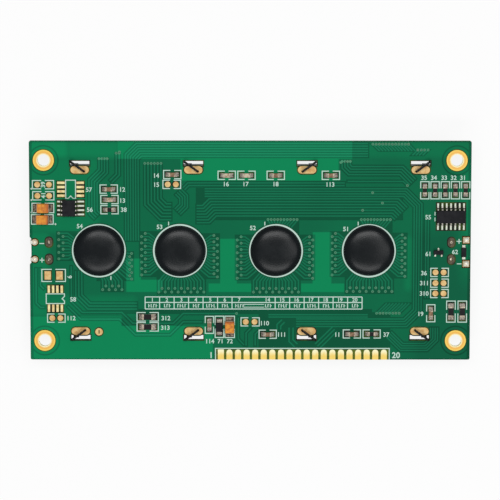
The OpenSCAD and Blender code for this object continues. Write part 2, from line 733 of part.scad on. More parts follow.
// Solder running from a pad up the end of a chip, whose end is at x = 0
module fillet(w, h) {
    reach = 0.95;
    foot = 0.12;
    rise = [for (a = [0 : 18 : 90]) [reach * (1 - sin(a)), foot + (h - foot) * (1 - cos(a))]];
    rotate([90, 0, 0]) translate([0, 0, -w / 2]) linear_extrude(w)
        polygon(concat([[0, 0], [reach, 0]], rise));
}

module fillet_pair(l, w, h) {
    for (s = [0, 180])
        rotate(s) translate([l / 2, 0, 0]) fillet(w, h);
}

// Section of a drop of solder from its middle to its edge, or over its full width
function drop_rim(from) =
    [for (a = [0 : 15 : from]) [joint_d / 2 * cos(a), joint_h * sin(a)]];

module round_drop() {
    rotate_extrude() polygon(concat([[0, 0]], drop_rim(90)));
}

module square_drop() {
    intersection_for (a = [0, 90])
        rotate(a) rotate([90, 0, 0]) translate([0, 0, -joint_d / 2]) linear_extrude(joint_d)
            polygon(drop_rim(180));
}

module solder_joints() {
    color("#d8dadc") {
        for (p = capacitors)
            placed(p, coat_z) fillet_pair(chip_l, chip_w, 0.7 * capacitor_h);
        for (p = resistors)
            placed(p, coat_z) fillet_pair(chip_l, chip_w, 0.8 * resistor_h);
        for (p = long_resistors)
            placed(p, coat_z) fillet_pair(long_chip_l, long_chip_w, 0.8 * resistor_h);
        for (p = tantalums)
            placed(p, coat_z) fillet_pair(tantalum_l + 2 * tantalum_foil, 0.75 * tantalum_w, 0.6);
        placed(moulded, coat_z) fillet_pair(moulded_size[0] + 2 * tantalum_foil, 0.75 * moulded_size[1], 0.6);
        mirrored_quarters() translate([spare_hole_x, spare_hole_y, board_z])
            cylinder(d = pin_hole_d, h = board_t);
        for (p = left_joints)
            difference() {
                translate([p[0], p[1], seat_z]) round_drop();
                left_lead(p[1]);
            }
        for (p = right_joints)
            difference() {
                translate([p[0], p[1], seat_z]) square_drop();
                right_lead(p);
            }
    }
}

// Black epoxy over a bare chip: a low dome with a steep edge
module driver_blob(i) {
    power = 2.6;
    rim = [for (a = [0 : 6 : 90]) [blob_d / 2 * pow(cos(a), 2 / power), blob_h * pow(sin(a), 2 / power)]];
    color("#1c1d20") translate([blob_xs[i], 0, copper_z])
        rotate_extrude($fn = 96) polygon(concat([[0, 0]], rim));
}

// Two-ended chip: ceramic body between two plated caps that stand a little proud of it
module chip(l, w, h, cap, body_colour) {
    proud = 0.03;
    color(body_colour) translate([0, 0, proud]) block([l - 2 * cap, w - 2 * proud, h - 2 * proud]);
    color("#c8c8c4") for (s = [-1, 1])
        translate([s * (l - cap) / 2, 0, 0]) block([cap, w, h]);
}

chip_cap = 0.4;
long_chip_cap = 0.5;

module capacitor(i) {
    placed(capacitors[i], seat_z) chip(chip_l, chip_w, capacitor_h, chip_cap, "#8a6a4a");
}

module resistor(i) {
    n = len(resistors);
    if (i < n)
        placed(resistors[i], seat_z) chip(chip_l, chip_w, resistor_h, chip_cap, "#202022");
    else
        placed(long_resistors[i - n], seat_z)
            chip(long_chip_l, long_chip_w, resistor_h, long_chip_cap, "#202022");
}

// Moulded block with sides that slope away from its parting line
module moulded_block(size, parting, slope) {
    intersection() {
        rotate([90, 0, 0]) translate([0, 0, -size[1] / 2 - past]) linear_extrude(size[1] + 2 * past)
            polygon(sloped(size[0], size[2], parting, slope));
        rotate([90, 0, 90]) translate([0, 0, -size[0] / 2 - past]) linear_extrude(size[0] + 2 * past)
            polygon(sloped(size[1], size[2], parting, slope));
    }
}

function sloped(w, h, parting, slope) = [
    [slope - w / 2, 0], [w / 2 - slope, 0], [w / 2, parting],
    [w / 2 - slope, h], [slope - w / 2, h], [-w / 2, parting]
];

tantalum_foil = 0.12;

// Terminal strips down both ends of a moulded capacitor
module end_foils(l, w, h) {
    for (s = [-1, 1])
        translate([s * (l + tantalum_foil) / 2, 0, 0]) block([tantalum_foil, w, h]);
}

module tantalum(i) {
    placed(tantalums[i], seat_z) {
        color("#d0862a") moulded_block([tantalum_l, tantalum_w, tantalum_h], tantalum_h / 2, draft);
        color("#c8c8c4") end_foils(tantalum_l, 0.75 * tantalum_w, tantalum_h / 2);
    }
}

module moulded_capacitor() {
    placed(moulded, seat_z) {
        color("#202124") moulded_block(moulded_size, moulded_size[2] / 2, draft);
        color("#c8c8c4") end_foils(moulded_size[0], 0.75 * moulded_size[1], moulded_size[2] / 2);
    }
}

// Bent leg from the side of a body at x = inner out to x = outer
module leg(inner, outer, shoulder, w) {
    rotate([90, 0, 0]) translate([0, 0, -w / 2]) linear_extrude(w)
        strip([[inner, shoulder], [inner + 0.3, shoulder],
               [outer - 0.55, leg_t / 2], [outer, leg_t / 2]], leg_t);
}

function package_parting() = standoff + (package_h - standoff) / 2;

// Body of a chip with n legs a side, with a dimple by its first leg
module package_body(n) {
    l = n * leg_pitch - 0.2;
    dimple_d = 0.7;
    difference() {
        translate([0, 0, standoff])
            moulded_block([package_w, l, package_h - standoff], (package_h - standoff) / 2, draft);
        translate([0.9 - package_w / 2, l / 2 - 0.9, package_h - 0.1]) cylinder(d = dimple_d, h = past);
    }
}

module package_legs(n) {
    for (s = [0, 180], i = [0 : n - 1])
        rotate(s) translate([0, (i - (n - 1) / 2) * leg_pitch, 0])
            leg(package_w / 2, leg_reach, package_parting(), leg_w);
}

module amplifier_body() {
    color("#2a2b2e") placed(amplifier, seat_z) package_body(4);
}

module amplifier_legs() {
    color("#c8c8c4") placed(amplifier, seat_z) package_legs(4);
}

module logic_body() {
    color("#26272a") placed(logic, seat_z) package_body(7);
}

module logic_legs() {
    color("#c8c8c4") placed(logic, seat_z) package_legs(7);
}

module transistor() {
    size = [1.3, 2.9, 1];
    reach = 1.25;
    placed(transistor, seat_z) {
        color("#26272a") translate([0, 0, standoff / 2])
            moulded_block([size[0], size[1], size[2]], size[2] / 2, draft / 2);
        color("#c8c8c4") {
            small_leg(size, reach, 0);
            for (y = [-0.95, 0.95])
                rotate(180) small_leg(size, reach, y);
        }
    }
}

// Short leg of a small body, at y along its side
module small_leg(size, reach, y) {
    w = 0.45;
    shoulder = (standoff + size[2]) / 2;
    translate([0, y - w / 2, 0]) rotate([90, 0, 0]) mirror([0, 0, 1]) linear_extrude(w)
        strip([[size[0] / 2, shoulder], [size[0] / 2 + 0.15, shoulder],
               [size[0] / 2 + 0.3, leg_t / 2], [reach, leg_t / 2]], leg_t / 2);
}

module diode() {
    foot = [0.7, 0.9, 0.35];
    placed(diode, seat_z) {
        color("#202124") moulded_block(diode_size, diode_size[2] / 2, draft / 2);
        color("#c8c8c4") for (s = [-1, 1])
            translate([s * (diode_size[0] + foot[0]) / 2, 0, 0]) block(foot);
    }
}

// Folded tray of sheet with round bends: width, height, depth and bend radius
module tray(w, h, d, r) {
    intersection() {
        linear_extrude(d) polygon(rounded(w, h, r));
        rotate([90, 0, 0]) translate([0, 0, -h / 2 - past]) linear_extrude(h + 2 * past)
            polygon(tray_section(w, d, r));
        rotate([90, 0, 90]) translate([0, 0, -w / 2 - past]) linear_extrude(w + 2 * past)
            polygon(tray_section(h, d, r));
    }
}

function tray_section(w, d, r) = concat(
    arc([r - w / 2, r], r, 180, 270), arc([w / 2 - r, r], r, 270, 360), [[w / 2, d], [-w / 2, d]]
);

// Tab that steps out of the wall, passes a slot and is twisted over the board
module tab() {
    step_z = board_z - under_board;
    head = [[-tab_in, 0], [tab_out, 0], [tab_out, tab_h - tab_corner], [tab_out - tab_corner, tab_h],
            [tab_corner - tab_in, tab_h], [-tab_in, tab_h - tab_corner]];
    rotate([90, 0, 90]) translate([0, 0, -neck_w / 2]) linear_extrude(neck_w)
        strip([[-tab_step, step_z - step_h - past], [-tab_step, step_z - step_h],
               [0, step_z], [0, seat_z + tab_h / 2]], sheet_t);
    translate([0, 0, seat_z]) rotate(tab_turn) rotate([90, 0, 0]) translate([0, 0, -sheet_t / 2])
        linear_extrude(sheet_t) polygon(head);
}

module bezel() {
    color("#17181a") union() {
        difference() {
            tray(bezel_w, bezel_h, board_z, bend_r);
            translate([0, 0, sheet_t])
                tray(bezel_w - 2 * sheet_t, bezel_h - 2 * sheet_t, board_z + past, bend_r - sheet_t);
            translate([0, 0, -past]) linear_extrude(sheet_t + 2 * past)
                polygon(rounded(window_w, window_h, 0.5));
            mirrored_quarters()
                translate([bezel_w / 2, bezel_h / 2, bend_r])
                    block([2 * corner_relief, 2 * corner_relief, board_z + past]);
            mirrored_quarters() for (x = tab_xs)
                translate([x + neck_x, bezel_h / 2, board_z - under_board - step_h])
                    block([neck_w + 2 * tab_notch, 4 * sheet_t, board_z]);
            translate([0, 0, lead_z - lead_t - loose])
                block([bezel_w + 2 * past, lead_notch_w, board_z]);
        }
        mirrored_quarters() for (x = tab_xs)
            translate([x + neck_x, tab_y, 0]) tab();
    }
}

module front_polariser() {
    color("#5f6a58") translate([0, 0, front_polariser_z]) block([sheet_w, sheet_h, polariser_t]);
}

module front_glass() {
    color("#9fb6a8") translate([0, 0, front_glass_z]) block([glass_w, glass_h, glass_t]);
}

module rear_glass() {
    color("#9fb6a8") translate([0, 0, rear_glass_z]) block([glass_w, frame_h, glass_t]);
}

module rear_polariser() {
    color("#6d7566") translate([0, 0, rear_polariser_z]) block([sheet_w, sheet_h, polariser_t]);
}

module contact_strip(s) {
    color("#3a3b3d") translate([0, s * (glass_h - ledge) / 2, rear_glass_z])
        block([window_w, strip_w, board_z - rear_glass_z]);
}

module upper_contact_strip() {
    contact_strip(1);
}

module lower_contact_strip() {
    contact_strip(-1);
}

module backlight_frame() {
    color("#f2f2ee") difference() {
        translate([0, 0, rear_polariser_z]) linear_extrude(board_z - rear_polariser_z)
            polygon(rounded(glass_w, frame_h, board_corner_r));
        translate([0, 0, rear_polariser_z - past])
            block([well_w, well_h, frame_floor_z - rear_polariser_z + past]);
        for (s = [-1, 1])
            translate([s * (well_w + frame_wall) / 2, 0, lead_z - lead_t - loose])
                block([frame_wall + 2 * loose, lead_notch_w, board_z]);
    }
}

module light_guide() {
    color("#e6f2ea") translate([0, 0, guide_z]) block([sheet_w, sheet_h, guide_t]);
}

module diffuser_sheet() {
    color("#fafaf6") translate([0, 0, diffuser_z]) block([sheet_w, sheet_h, diffuser_t]);
}

module reflector_sheet() {
    color("#f4f6f6") translate([0, 0, reflector_z]) block([sheet_w, sheet_h, reflector_t]);
}

lamp_board_x = well_w / 2 - loose - lamp_board_t / 2;

module lamp_board(s) {
    color("#e8e6d8") translate([s * lamp_board_x, 0, guide_z]) block([lamp_board_t, sheet_h, guide_t]);
}

module left_lamp_board() {
    lamp_board(-1);
}

module right_lamp_board() {
    lamp_board(1);
}

module lamp_chips() {
    pitch = sheet_h / lamp_count;
    color("#fbf8e0") for (s = [-1, 1], i = [0 : lamp_count - 1])
        translate([s * (lamp_board_x - (lamp_board_t + lamp_d) / 2),
                   (i - (lamp_count - 1) / 2) * pitch, guide_z + guide_t / 4])
            block([lamp_d, pitch / 2, guide_t / 2]);
}

// Flat lead from the left lamp board, round the edge of the circuit board to its pad
module left_lead(y) {
    root = -lamp_board_x - lamp_board_t / 2;
    turn = from_left(recess_d - lead_t / 2 - loose / 2);
    top = seat_z + lead_t / 2;
    translate([0, y, 0]) rotate([90, 0, 0]) translate([0, 0, -lead_w / 2]) linear_extrude(lead_w)
        strip([[root, lead_z], [turn, lead_z], [turn, top], [from_left(recess_d + 0.5), top]], lead_t);
}

// Lead from the right lamp board that rises through the circuit board
module right_lead(p) {
    root = lamp_board_x + lamp_board_t / 2;
    w = 0.6;
    translate([root, p[1] - w / 2, lead_z - lead_t / 2]) cube([p[0] - root + lead_t, w, lead_t]);
    translate([p[0] - lead_t, p[1] - w / 2, lead_z - lead_t / 2])
        cube([2 * lead_t, w, seat_z + 0.5 - lead_z + lead_t / 2]);
}

module backlight_leads() {
    color("#c8c8c4") {
        for (p = left_joints)
            left_lead(p[1]);
        for (p = right_joints)
            right_lead(p);
    }
}

circuit_board();
ground_fill();
copper_tracks();
plated_vias();
legend_print();
edge_contacts();
mounting_eyelets();
bare_pads();
solder_joints();
amplifier_body();
amplifier_legs();
logic_body();
logic_legs();
transistor();
diode();
moulded_capacitor();
bezel();
front_polariser();
front_glass();
rear_glass();
rear_polariser();
upper_contact_strip();
lower_contact_strip();
backlight_frame();
light_guide();
diffuser_sheet();
reflector_sheet();
left_lamp_board();
right_lamp_board();
lamp_chips();
backlight_leads();
for (i = [0 : len(blob_names) - 1])
    driver_blob(i);
for (i = [0 : len(tantalum_names) - 1])
    tantalum(i);
for (i = [0 : len(capacitor_names) - 1])
    capacitor(i);
for (i = [0 : len(resistor_names) - 1])
    resistor(i);
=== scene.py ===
"""Finishes and marks of a graphic display module that lies on its bezel, with its circuit board up."""

import math
from collections import namedtuple
from functools import cache

import bmesh
import bpy
from mathutils import Matrix, Vector


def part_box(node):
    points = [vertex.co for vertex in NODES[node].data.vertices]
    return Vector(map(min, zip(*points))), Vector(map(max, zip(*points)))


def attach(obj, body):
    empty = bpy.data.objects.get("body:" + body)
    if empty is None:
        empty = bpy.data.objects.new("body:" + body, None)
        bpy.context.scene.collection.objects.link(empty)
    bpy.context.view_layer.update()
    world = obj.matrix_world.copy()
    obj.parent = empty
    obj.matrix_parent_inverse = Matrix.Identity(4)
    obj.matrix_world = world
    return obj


bl_info = {
    "name": "Graphic display module",
    "version": (1, 0, 0),
    "blender": (4, 5, 0),
    "location": "3D View > Sidebar > Display module",
    "description": "Finishes and printed marks of a circuit board with its display and backlight",
    "category": "Object",
}

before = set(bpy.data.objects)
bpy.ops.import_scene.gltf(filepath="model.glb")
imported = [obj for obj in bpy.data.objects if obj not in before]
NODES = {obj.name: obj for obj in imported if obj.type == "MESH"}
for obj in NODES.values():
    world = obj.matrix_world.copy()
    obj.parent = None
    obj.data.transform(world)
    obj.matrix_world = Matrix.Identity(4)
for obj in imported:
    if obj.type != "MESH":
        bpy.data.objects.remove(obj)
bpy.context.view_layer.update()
MM = 0.001
# Signs of a rectangle's corners, anticlockwise
SQUARE = ((-1, -1), (1, -1), (1, 1), (-1, 1))

# Levels of the board in metres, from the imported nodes
COPPER_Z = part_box("circuit_board")[1].z
COAT_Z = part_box("ground_fill")[1].z
SEAT_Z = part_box("legend_print")[1].z

BLOBS = [f"driver_blob_{i}" for i in range(1, 5)]
TANTALUMS = [f"tantalum_{i}" for i in range(1, 4)]
CAPACITORS = [f"capacitor_{i}" for i in range(1, 12)]
PALE_CAPACITORS = ("capacitor_2", "capacitor_3", "capacitor_7")
RESISTORS = [f"resistor_{i}" for i in range(1, 12)]
# Axis of each chip's rows of legs, and how many legs a row has
LEGS = {"amplifier_legs": (1, 4), "logic_legs": (0, 7)}
LEG_W = 0.42 * MM


def srgb(red, green, blue):
    """Linear colour of three screen values from 0 to 255."""
    shares = [v / 255 for v in (red, green, blue)]
    return tuple(v / 12.92 if v <= 0.04045 else ((v + 0.055) / 1.055) ** 2.4 for v in shares)


def colour(name, description, *values):
    """Colour property from screen values."""
    return bpy.props.FloatVectorProperty(
        name=name, description=description, default=srgb(*values), subtype="COLOR", size=3, min=0, max=1
    )


def amount(name, description, default, **settings):
    """Number property."""
    return bpy.props.FloatProperty(name=name, description=description, default=default, **settings)


def length(name, description, default_mm):
    """Length property from millimetres."""
    return amount(name, description, default_mm * MM, min=0, unit="LENGTH", subtype="DISTANCE", precision=5)


class BoardLook(bpy.types.PropertyGroup):
    """Colours of the circuit board and its coat"""

    bare: colour("Gaps", "Coat over bare laminate", 2, 76, 51)
    bare_bright: colour("Bright gaps", "Coat over laminate between close tracks", 8, 114, 76)
    fill: colour("Filled copper", "Coat over copper that lies over other copper", 6, 97, 66)
    fill_bright: colour("Bright filled copper", "Coat over large areas of copper", 3, 138, 87)
    track: colour("Tracks", "Coat over copper tracks", 14, 107, 75)
    track_bright: colour("Bright tracks", "Coat over close tracks", 22, 142, 98)
    via: colour("Vias", "Coat over the rims of vias", 64, 134, 96)
    via_middle: colour("Middle of vias", "Hollow middle of a via", 6, 66, 44)
    ink: colour("Print", "Printed ink", 200, 226, 214)
    # Painted shade: the laminate in the coat's openings is drawn near-black
    opening: colour("Openings", "Laminate round bare pads, where the coat is open", 14, 22, 8)
    between: colour("Between contacts", "Laminate between the edge contacts", 92, 110, 22)
    between_dark: colour("Dark between contacts", "Stained laminate between the contacts", 60, 80, 14)
    edge: colour("Cut edge", "Sawn edge of the laminate", 96, 104, 52)


class MetalLook(bpy.types.PropertyGroup):
    """Colours of plated and soldered surfaces"""

    gold: colour("Gold", "Plating round the fixing holes", 252, 214, 92)
    gold_deep: colour("Deep gold", "Plating in the middle of a ring", 246, 186, 78)
    # Painted highlight at the rim of the hole
    gold_pale: colour("Pale gold", "Plating at the rim of a hole", 255, 248, 196)
    # Painted highlight: the pale upper part of the contacts
    contact: colour("Contacts", "Plating of the edge contacts", 255, 250, 202)
    contact_warm: colour("Warm contacts", "Plating of the contacts near the edge", 248, 214, 104)
    pad: colour("Pads", "Bare pads", 228, 194, 130)
    pad_warm: colour("Warm pads", "Stained parts of bare pads", 212, 164, 96)
    tinned: colour("Leg pads", "Empty pads for the legs of chips", 250, 236, 172)
    wetted: colour("Wetted pads", "Solder in line with the legs of chips", 222, 232, 212)
    # Painted shade: dark solder beside the legs and near the chip's body
    wetted_dark: colour("Sides of wetted pads", "Solder at the sides of the legs", 44, 62, 42)
    # Partly flux stain, partly painted shade inside the spare holes
    flux: colour("Flux", "Stained plating of the spare pin holes", 92, 76, 52)
    solder: colour("Solder", "Solder at the ends of chips", 214, 204, 188)
    # Dull solder at the tantalums and spare holes, and painted shade at the feet of fillets and in the
    # filled holes
    solder_dark: colour("Dark solder", "Foot of a solder fillet", 52, 40, 32)
    drop: colour("Solder drops", "Solder over the backlight's leads", 248, 232, 206)
    cap: colour("End caps", "Tinned ends of chips", 204, 190, 170)
    cap_dark: colour("Stained end caps", "Dull patches of the ends of chips", 138, 120, 102)
    tin: colour("Tin", "Legs", 236, 238, 226)
    # Painted shade on the sloped stretch of the legs
    tin_dark: colour("Sloped tin", "Slopes of the legs of chips", 40, 40, 38)


class PartLook(bpy.types.PropertyGroup):
    """Colours of the parts on the board"""

    epoxy: colour("Epoxy", "Black drops over the driver chips", 15, 20, 23)
    epoxy_pale: colour("Pale epoxy", "Dusty patches on the drops", 20, 25, 28)
    mould: colour("Moulded black", "Bodies of chips", 22, 22, 27)
    mould_pale: colour("Pale moulded black", "Rubbed patches on bodies of chips", 34, 34, 38)
    ceramic: colour("Ceramic", "Bodies of chip capacitors", 146, 112, 78)
    ceramic_dark: colour("Dark ceramic", "Mottling of chip capacitors", 108, 78, 54)
    ceramic_pale: colour("Pale ceramic", "Bodies of three of the chip capacitors", 206, 190, 164)
    glaze: colour("Glaze", "Upper face of chip resistors", 24, 23, 24)
    alumina: colour("Alumina", "Sides of chip resistors", 226, 222, 214)
    resin: colour("Resin", "Bodies of tantalum capacitors", 236, 154, 32)
    resin_deep: colour("Deep resin", "Mottling of tantalum capacitors", 196, 106, 14)
    stripe: colour("Stripe", "Marked end of a tantalum capacitor", 190, 92, 22)


class DisplayLook(bpy.types.PropertyGroup):
    """Colours of the bezel, the display and the backlight"""

    paint: colour("Paint", "Bezel", 12, 13, 14)
    # Partly rubbed paint, partly painted sheen
    paint_pale: colour("Rubbed paint", "Rubbed patches of the bezel", 30, 30, 32)
    film: colour("Film", "Display area seen from the front", 118, 134, 104)
    film_dots: colour("Dots", "Faint dots of the display", 104, 120, 92)
    film_back: colour("Rear film", "Film behind the glass", 150, 158, 138)
    glass: colour("Glass", "Glass of the display", 206, 222, 212)
    rubber: colour("Rubber", "Contact strips", 60, 61, 63)
    rubber_line: colour("Rubber layers", "Dark layers of the contact strips", 24, 24, 25)
    white: colour("White mould", "Backlight frame", 238, 238, 232)
    acrylic: colour("Acrylic", "Light guide", 226, 240, 232)
    sheet: colour("Sheets", "Diffuser and reflector", 246, 246, 242)
    lamp_board: colour("Lamp boards", "Boards that carry the lamps", 226, 224, 208)
    lamp: colour("Lamps", "Lamp chips", 250, 240, 190)


class MarkSize(bpy.types.PropertyGroup):
    """Sizes of the marks that lie on the board"""

    part_number_h: length("Part numbers", "Height of the numbers beside parts", 1.3)
    pin_number_h: length("Pin numbers", "Height of the numbers in the table", 1.15)
    end_number_h: length("End numbers", "Height of the numbers at the ends of the contact row", 1.75)
    sign_l: length("Signs", "Length of the plus and minus signs", 1.4)
    stroke: length("Stroke", "Width of a printed stroke", 0.27)
    # The openings below are drawn near-black as painted shade round pads, joints, rings and slots
    pad_opening: length("Pad openings", "Open coat round a pad", 0.32)
    ring_opening: length("Ring openings", "Open coat round the rings of the fixing holes", 0.24)
    joint_opening: length("Joint openings", "Open coat round the solder of a chip", 0.3)
    slot_opening: length("Slot openings", "Open coat round the slots for the tabs", 0.26)
    skirt: length("Epoxy skirts", "Reach of the epoxy over the printed rings", 0.3)
    via_middle_d: length("Via middles", "Diameter of the hollow middle of a via", 0.34)


class StageLook(bpy.types.PropertyGroup):
    """Camera, floor and lamps"""

    distance: length("Distance", "Camera from the board", 888)
    tilt: amount("Tilt", "Camera's lean towards the upper edge", math.radians(7.717), subtype="ANGLE")
    roll: amount("Roll", "Camera's turn about its axis", math.radians(0.026), subtype="ANGLE")
    lens: amount("Lens", "Focal length in millimetres", 216.88, min=10, subtype="DISTANCE_CAMERA")
    floor_white: colour("Floor", "Floor under the module", 254, 254, 254)
    floor_glow: amount(
        "Floor glow", "Share of plain white in the floor as the camera sees it", 0.86,
        min=0, max=1, subtype="FACTOR",
    )
    sky: amount("Sky", "Strength of the light from all round", 0.25, min=0)
    upper_lamp: amount("Upper lamp", "Power of the lamp over the upper edge", 5.6, min=0, unit="POWER")
    right_lamp: amount("Right lamp", "Power of the lamp over the right end", 1.5, min=0, unit="POWER")
    lower_lamp: amount("Lower lamp", "Power of the lamp over the contacts", 3.6, min=0, unit="POWER")


def maths(operation):
    """Method of a Wire that adds a Math node, with the Wire as its first value."""
    return lambda wire, *others: wire.finish.math(operation, wire, *others)


class Wire:
    """An output socket that can be used in Python expressions."""

    def __init__(self, finish, socket):
        self.finish = finish
        self.socket = socket

    def __rsub__(self, other):
        return self.finish.math("SUBTRACT", other, self)

    __add__ = __radd__ = maths("ADD")
    __sub__ = maths("SUBTRACT")
    __mul__ = __rmul__ = maths("MULTIPLY")
    __truediv__ = maths("DIVIDE")
    __pow__ = maths("POWER")
    __abs__ = maths("ABSOLUTE")
    __lt__ = maths("LESS_THAN")
    __gt__ = maths("GREATER_THAN")
    sine = maths("SINE")
    fraction = maths("FRACT")
    lesser = maths("MINIMUM")
    greater = maths("MAXIMUM")


class Finish:
    """A material with one Principled shader, built from expressions on Wires."""

    def __init__(self, name, **constants):
        self.material = bpy.data.materials.new(name)
        self.material.use_nodes = True
        self.tree = self.material.node_tree
        self.shader = self.tree.nodes["Principled BSDF"]
        self.place = self.node("ShaderNodeTexCoord", {}, {}, "Object")
        for socket, value in constants.items():
            self.put(self.shader.inputs[socket.replace("_", " ")], value)

    def put(self, socket, value):
        """Links a Wire to a socket, or sets a plain value on it."""
        if isinstance(value, Wire):
            self.tree.links.new(value.socket, socket)
        elif socket.type == "RGBA":
            socket.default_value = (*value[:3], 1)
        else:
            socket.default_value = value

    def node(self, kind, settings, inputs, out=0):
        """New node: its settings are set first, then the values or links of its sockets."""
        made = self.tree.nodes.new(kind)
        for key, value in settings.items():
            setattr(made, key, value)
        for key, value in inputs.items():
            self.put(made.inputs[key], value)
        return Wire(self, made.outputs[out])

    def math(self, operation, *values):
        """Math node on Wires and numbers."""
        return self.node("ShaderNodeMath", {"operation": operation}, dict(enumerate(values)))

    def axes(self):
        """The three coordinates of the surface in metres."""
        return [self.node("ShaderNodeSeparateXYZ", {}, {0: self.place}, axis) for axis in "XYZ"]

    def noise(self, grain_mm, detail=2.0):
        """Noise whose patches are about grain_mm across."""
        scale = 1 / (grain_mm * MM)
        return self.node("ShaderNodeTexNoise", {}, {"Vector": self.place, "Scale": scale, "Detail": detail})

    def stretched(self, along_mm, across_mm, detail=2.0):
        """Noise whose patches are about along_mm long in X and across_mm wide."""
        scale = (1 / (along_mm * MM), 1 / (across_mm * MM), 1 / (across_mm * MM))
        vector = self.node("ShaderNodeVectorMath", {"operation": "MULTIPLY"}, {0: self.place, 1: scale})
        return self.node("ShaderNodeTexNoise", {}, {"Vector": vector, "Scale": 1.0, "Detail": detail})

    def step(self, value, low, high):
        """Smooth rise of value from 0 at low to 1 at high."""
        return self.node(
            "ShaderNodeMapRange", {"interpolation_type": "SMOOTHSTEP"},
            {"Value": value, "From Min": low, "From Max": high},
        )

    def field(self, place, low, high, soft):
        """1 between two places in millimetres, falling to 0 over soft mm to either side of each."""
        half = (high - low) / 2
        return self.step(abs(place - (low + high) / 2 * MM), (half + soft) * MM, (half - soft) * MM)

    def mix(self, factor, first, second):
        """Colour between first and second."""
        return self.node("ShaderNodeMix", {"data_type": "RGBA"}, {0: factor, 6: first, 7: second}, 2)

    def surface(self, base, rough, metal=0.0, height=None, depth=0.0):
        """Connects the shader: colour, roughness, metal, and relief with its depth in millimetres."""
        self.put(self.shader.inputs["Base Color"], base)
        self.put(self.shader.inputs["Roughness"], rough)
        self.put(self.shader.inputs["Metallic"], metal)
        if height is not None:
            bump = {"Strength": 1.0, "Distance": depth * MM, "Height": height}
            self.put(self.shader.inputs["Normal"], self.node("ShaderNodeBump", {}, bump))
        return self.material


# A mottled finish: the group and the names of its two colours, then its numbers, with lengths in millimetres
Mottle = namedtuple("Mottle", "group main other patch rough grain depth metal specular", defaults=(0.0, 0.5))
MOTTLED = {
    "tinned_metal": Mottle("metal", "tin", "solder", 0.9, 0.3, 0.12, 0.008, 0.2),
    "underside_coat": Mottle("board", "fill", "fill_bright", 18.0, 0.42, 0.35, 0.006),
    "via_coat": Mottle("board", "via", "track_bright", 1.2, 0.36, 0.2, 0.004),
    "via_middles": Mottle("board", "via_middle", "bare", 0.8, 0.5, 0.1, 0.004),
    # Open coat drawn near-black as painted shade
    "open_laminate": Mottle("board", "opening", "between_dark", 2.2, 0.62, 0.12, 0.01, specular=0.2),
    "contact_laminate": Mottle("board", "between", "between_dark", 1.1, 0.62, 0.12, 0.01, specular=0.2),
    "bare_pads": Mottle("metal", "pad", "pad_warm", 1.3, 0.45, 0.15, 0.008, 0.15),
    "leg_pads": Mottle("metal", "tinned", "pad", 0.9, 0.4, 0.12, 0.01, 0.1),
    # Spare holes: dark brown is partly flux stain, partly painted shade inside the holes
    "fluxed_holes": Mottle("metal", "flux", "solder_dark", 0.6, 0.5, 0.12, 0.02, 0.15),
    "solder_drops": Mottle("metal", "drop", "tin", 0.8, 0.3, 0.4, 0.03, 0.2),
    # Painted shade: dark solder over the insides of the filled holes, with patches of brighter drops
    "filled_holes": Mottle("metal", "solder_dark", "drop", 0.45, 0.3, 0.2, 0.03, 0.2),
    "dull_fillets": Mottle("metal", "cap_dark", "solder_dark", 0.7, 0.4, 0.3, 0.03, 0.2),
    "end_caps": Mottle("metal", "cap", "cap_dark", 0.7, 0.3, 0.12, 0.01, 0.15),
    "moulded_black": Mottle("parts", "mould", "mould_pale", 1.6, 0.58, 0.09, 0.02, specular=0.14),
    "brown_ceramic": Mottle("parts", "ceramic", "ceramic_dark", 0.7, 0.5, 0.08, 0.01),
    "pale_ceramic": Mottle("parts", "ceramic_pale", "ceramic", 0.9, 0.5, 0.08, 0.01),
    "black_glaze": Mottle("parts", "glaze", "mould", 0.6, 0.4, 0.1, 0.006, specular=0.16),
    "white_alumina": Mottle("parts", "alumina", "mould_pale", 1.5, 0.6, 0.08, 0.01),
    "rear_film": Mottle("display", "film_back", "film", 12.0, 0.3, 0.5, 0.004),
    "display_glass": Mottle("display", "glass", "film_back", 20.0, 0.08, 6.0, 0.004),
    "white_mould": Mottle("display", "white", "sheet", 8.0, 0.5, 0.14, 0.015),
    "clear_acrylic": Mottle("display", "acrylic", "sheet", 10.0, 0.12, 1.2, 0.004),
    "diffuser": Mottle("display", "sheet", "white", 6.0, 0.6, 0.1, 0.008),
    "reflector": Mottle("display", "sheet", "acrylic", 9.0, 0.35, 0.3, 0.006),
    "lamp_resin": Mottle("display", "lamp", "sheet", 0.8, 0.25, 0.2, 0.006),
    "lamp_board_coat": Mottle("display", "lamp_board", "white", 3.0, 0.5, 0.12, 0.008),
}


@cache
def mottled(name):
    """Finish with soft patches of a second colour and a fine grain, made once."""
    row = MOTTLED[name]
    look = getattr(bpy.context.scene, f"module_{row.group}")
    made = Finish(name, Specular_IOR_Level=row.specular)
    patches = made.step(made.noise(row.patch, 3.0), 0.38, 0.66)
    texture = made.noise(row.grain)
    tone = made.mix(patches, getattr(look, row.main), getattr(look, row.other))
    rough = row.rough + 0.14 * (texture - 0.5) + 0.06 * patches
    return made.surface(tone, rough, row.metal, texture, row.depth)


# Fields of the board where the coat looks brighter: left, right, low and high in millimetres, and how much
BRIGHT_FIELDS = (
    (-66, -53, 27.2, 33, 0.95), (-54, -38, 27.2, 33, 0.75), (-39, 30, 27.2, 33, 1), (29, 66, 27.2, 33, 0.45),
    (-20.5, 26, 20.8, 28, 1), (-66, -44, 5, 28, 0.55), (-66, -59, -20, 6, 0.65), (-60, -33, -20, -13, 0.5),
    (-66, -38, -33, -19.6, 1), (-39, -11, -33, -22.4, 1),
    (-36.6, -32.2, -12.3, -2.3, 1), (-33, -26, -12.3, -8.6, 1), (-8.9, -3.9, -12.3, 3.6, 1),
    (-12.3, 0.4, -12.3, -9.7, 1), (18.4, 24, -12.3, 5.6, 1), (15, 27.8, -12.3, -9.7, 1),
    (45.3, 47.9, -12.3, 4.6, 0.6),
)
# Half width in millimetres of the edge of a full field and of a lesser one
CRISP_EDGE, SOFT_EDGE = 0.25, 2.0


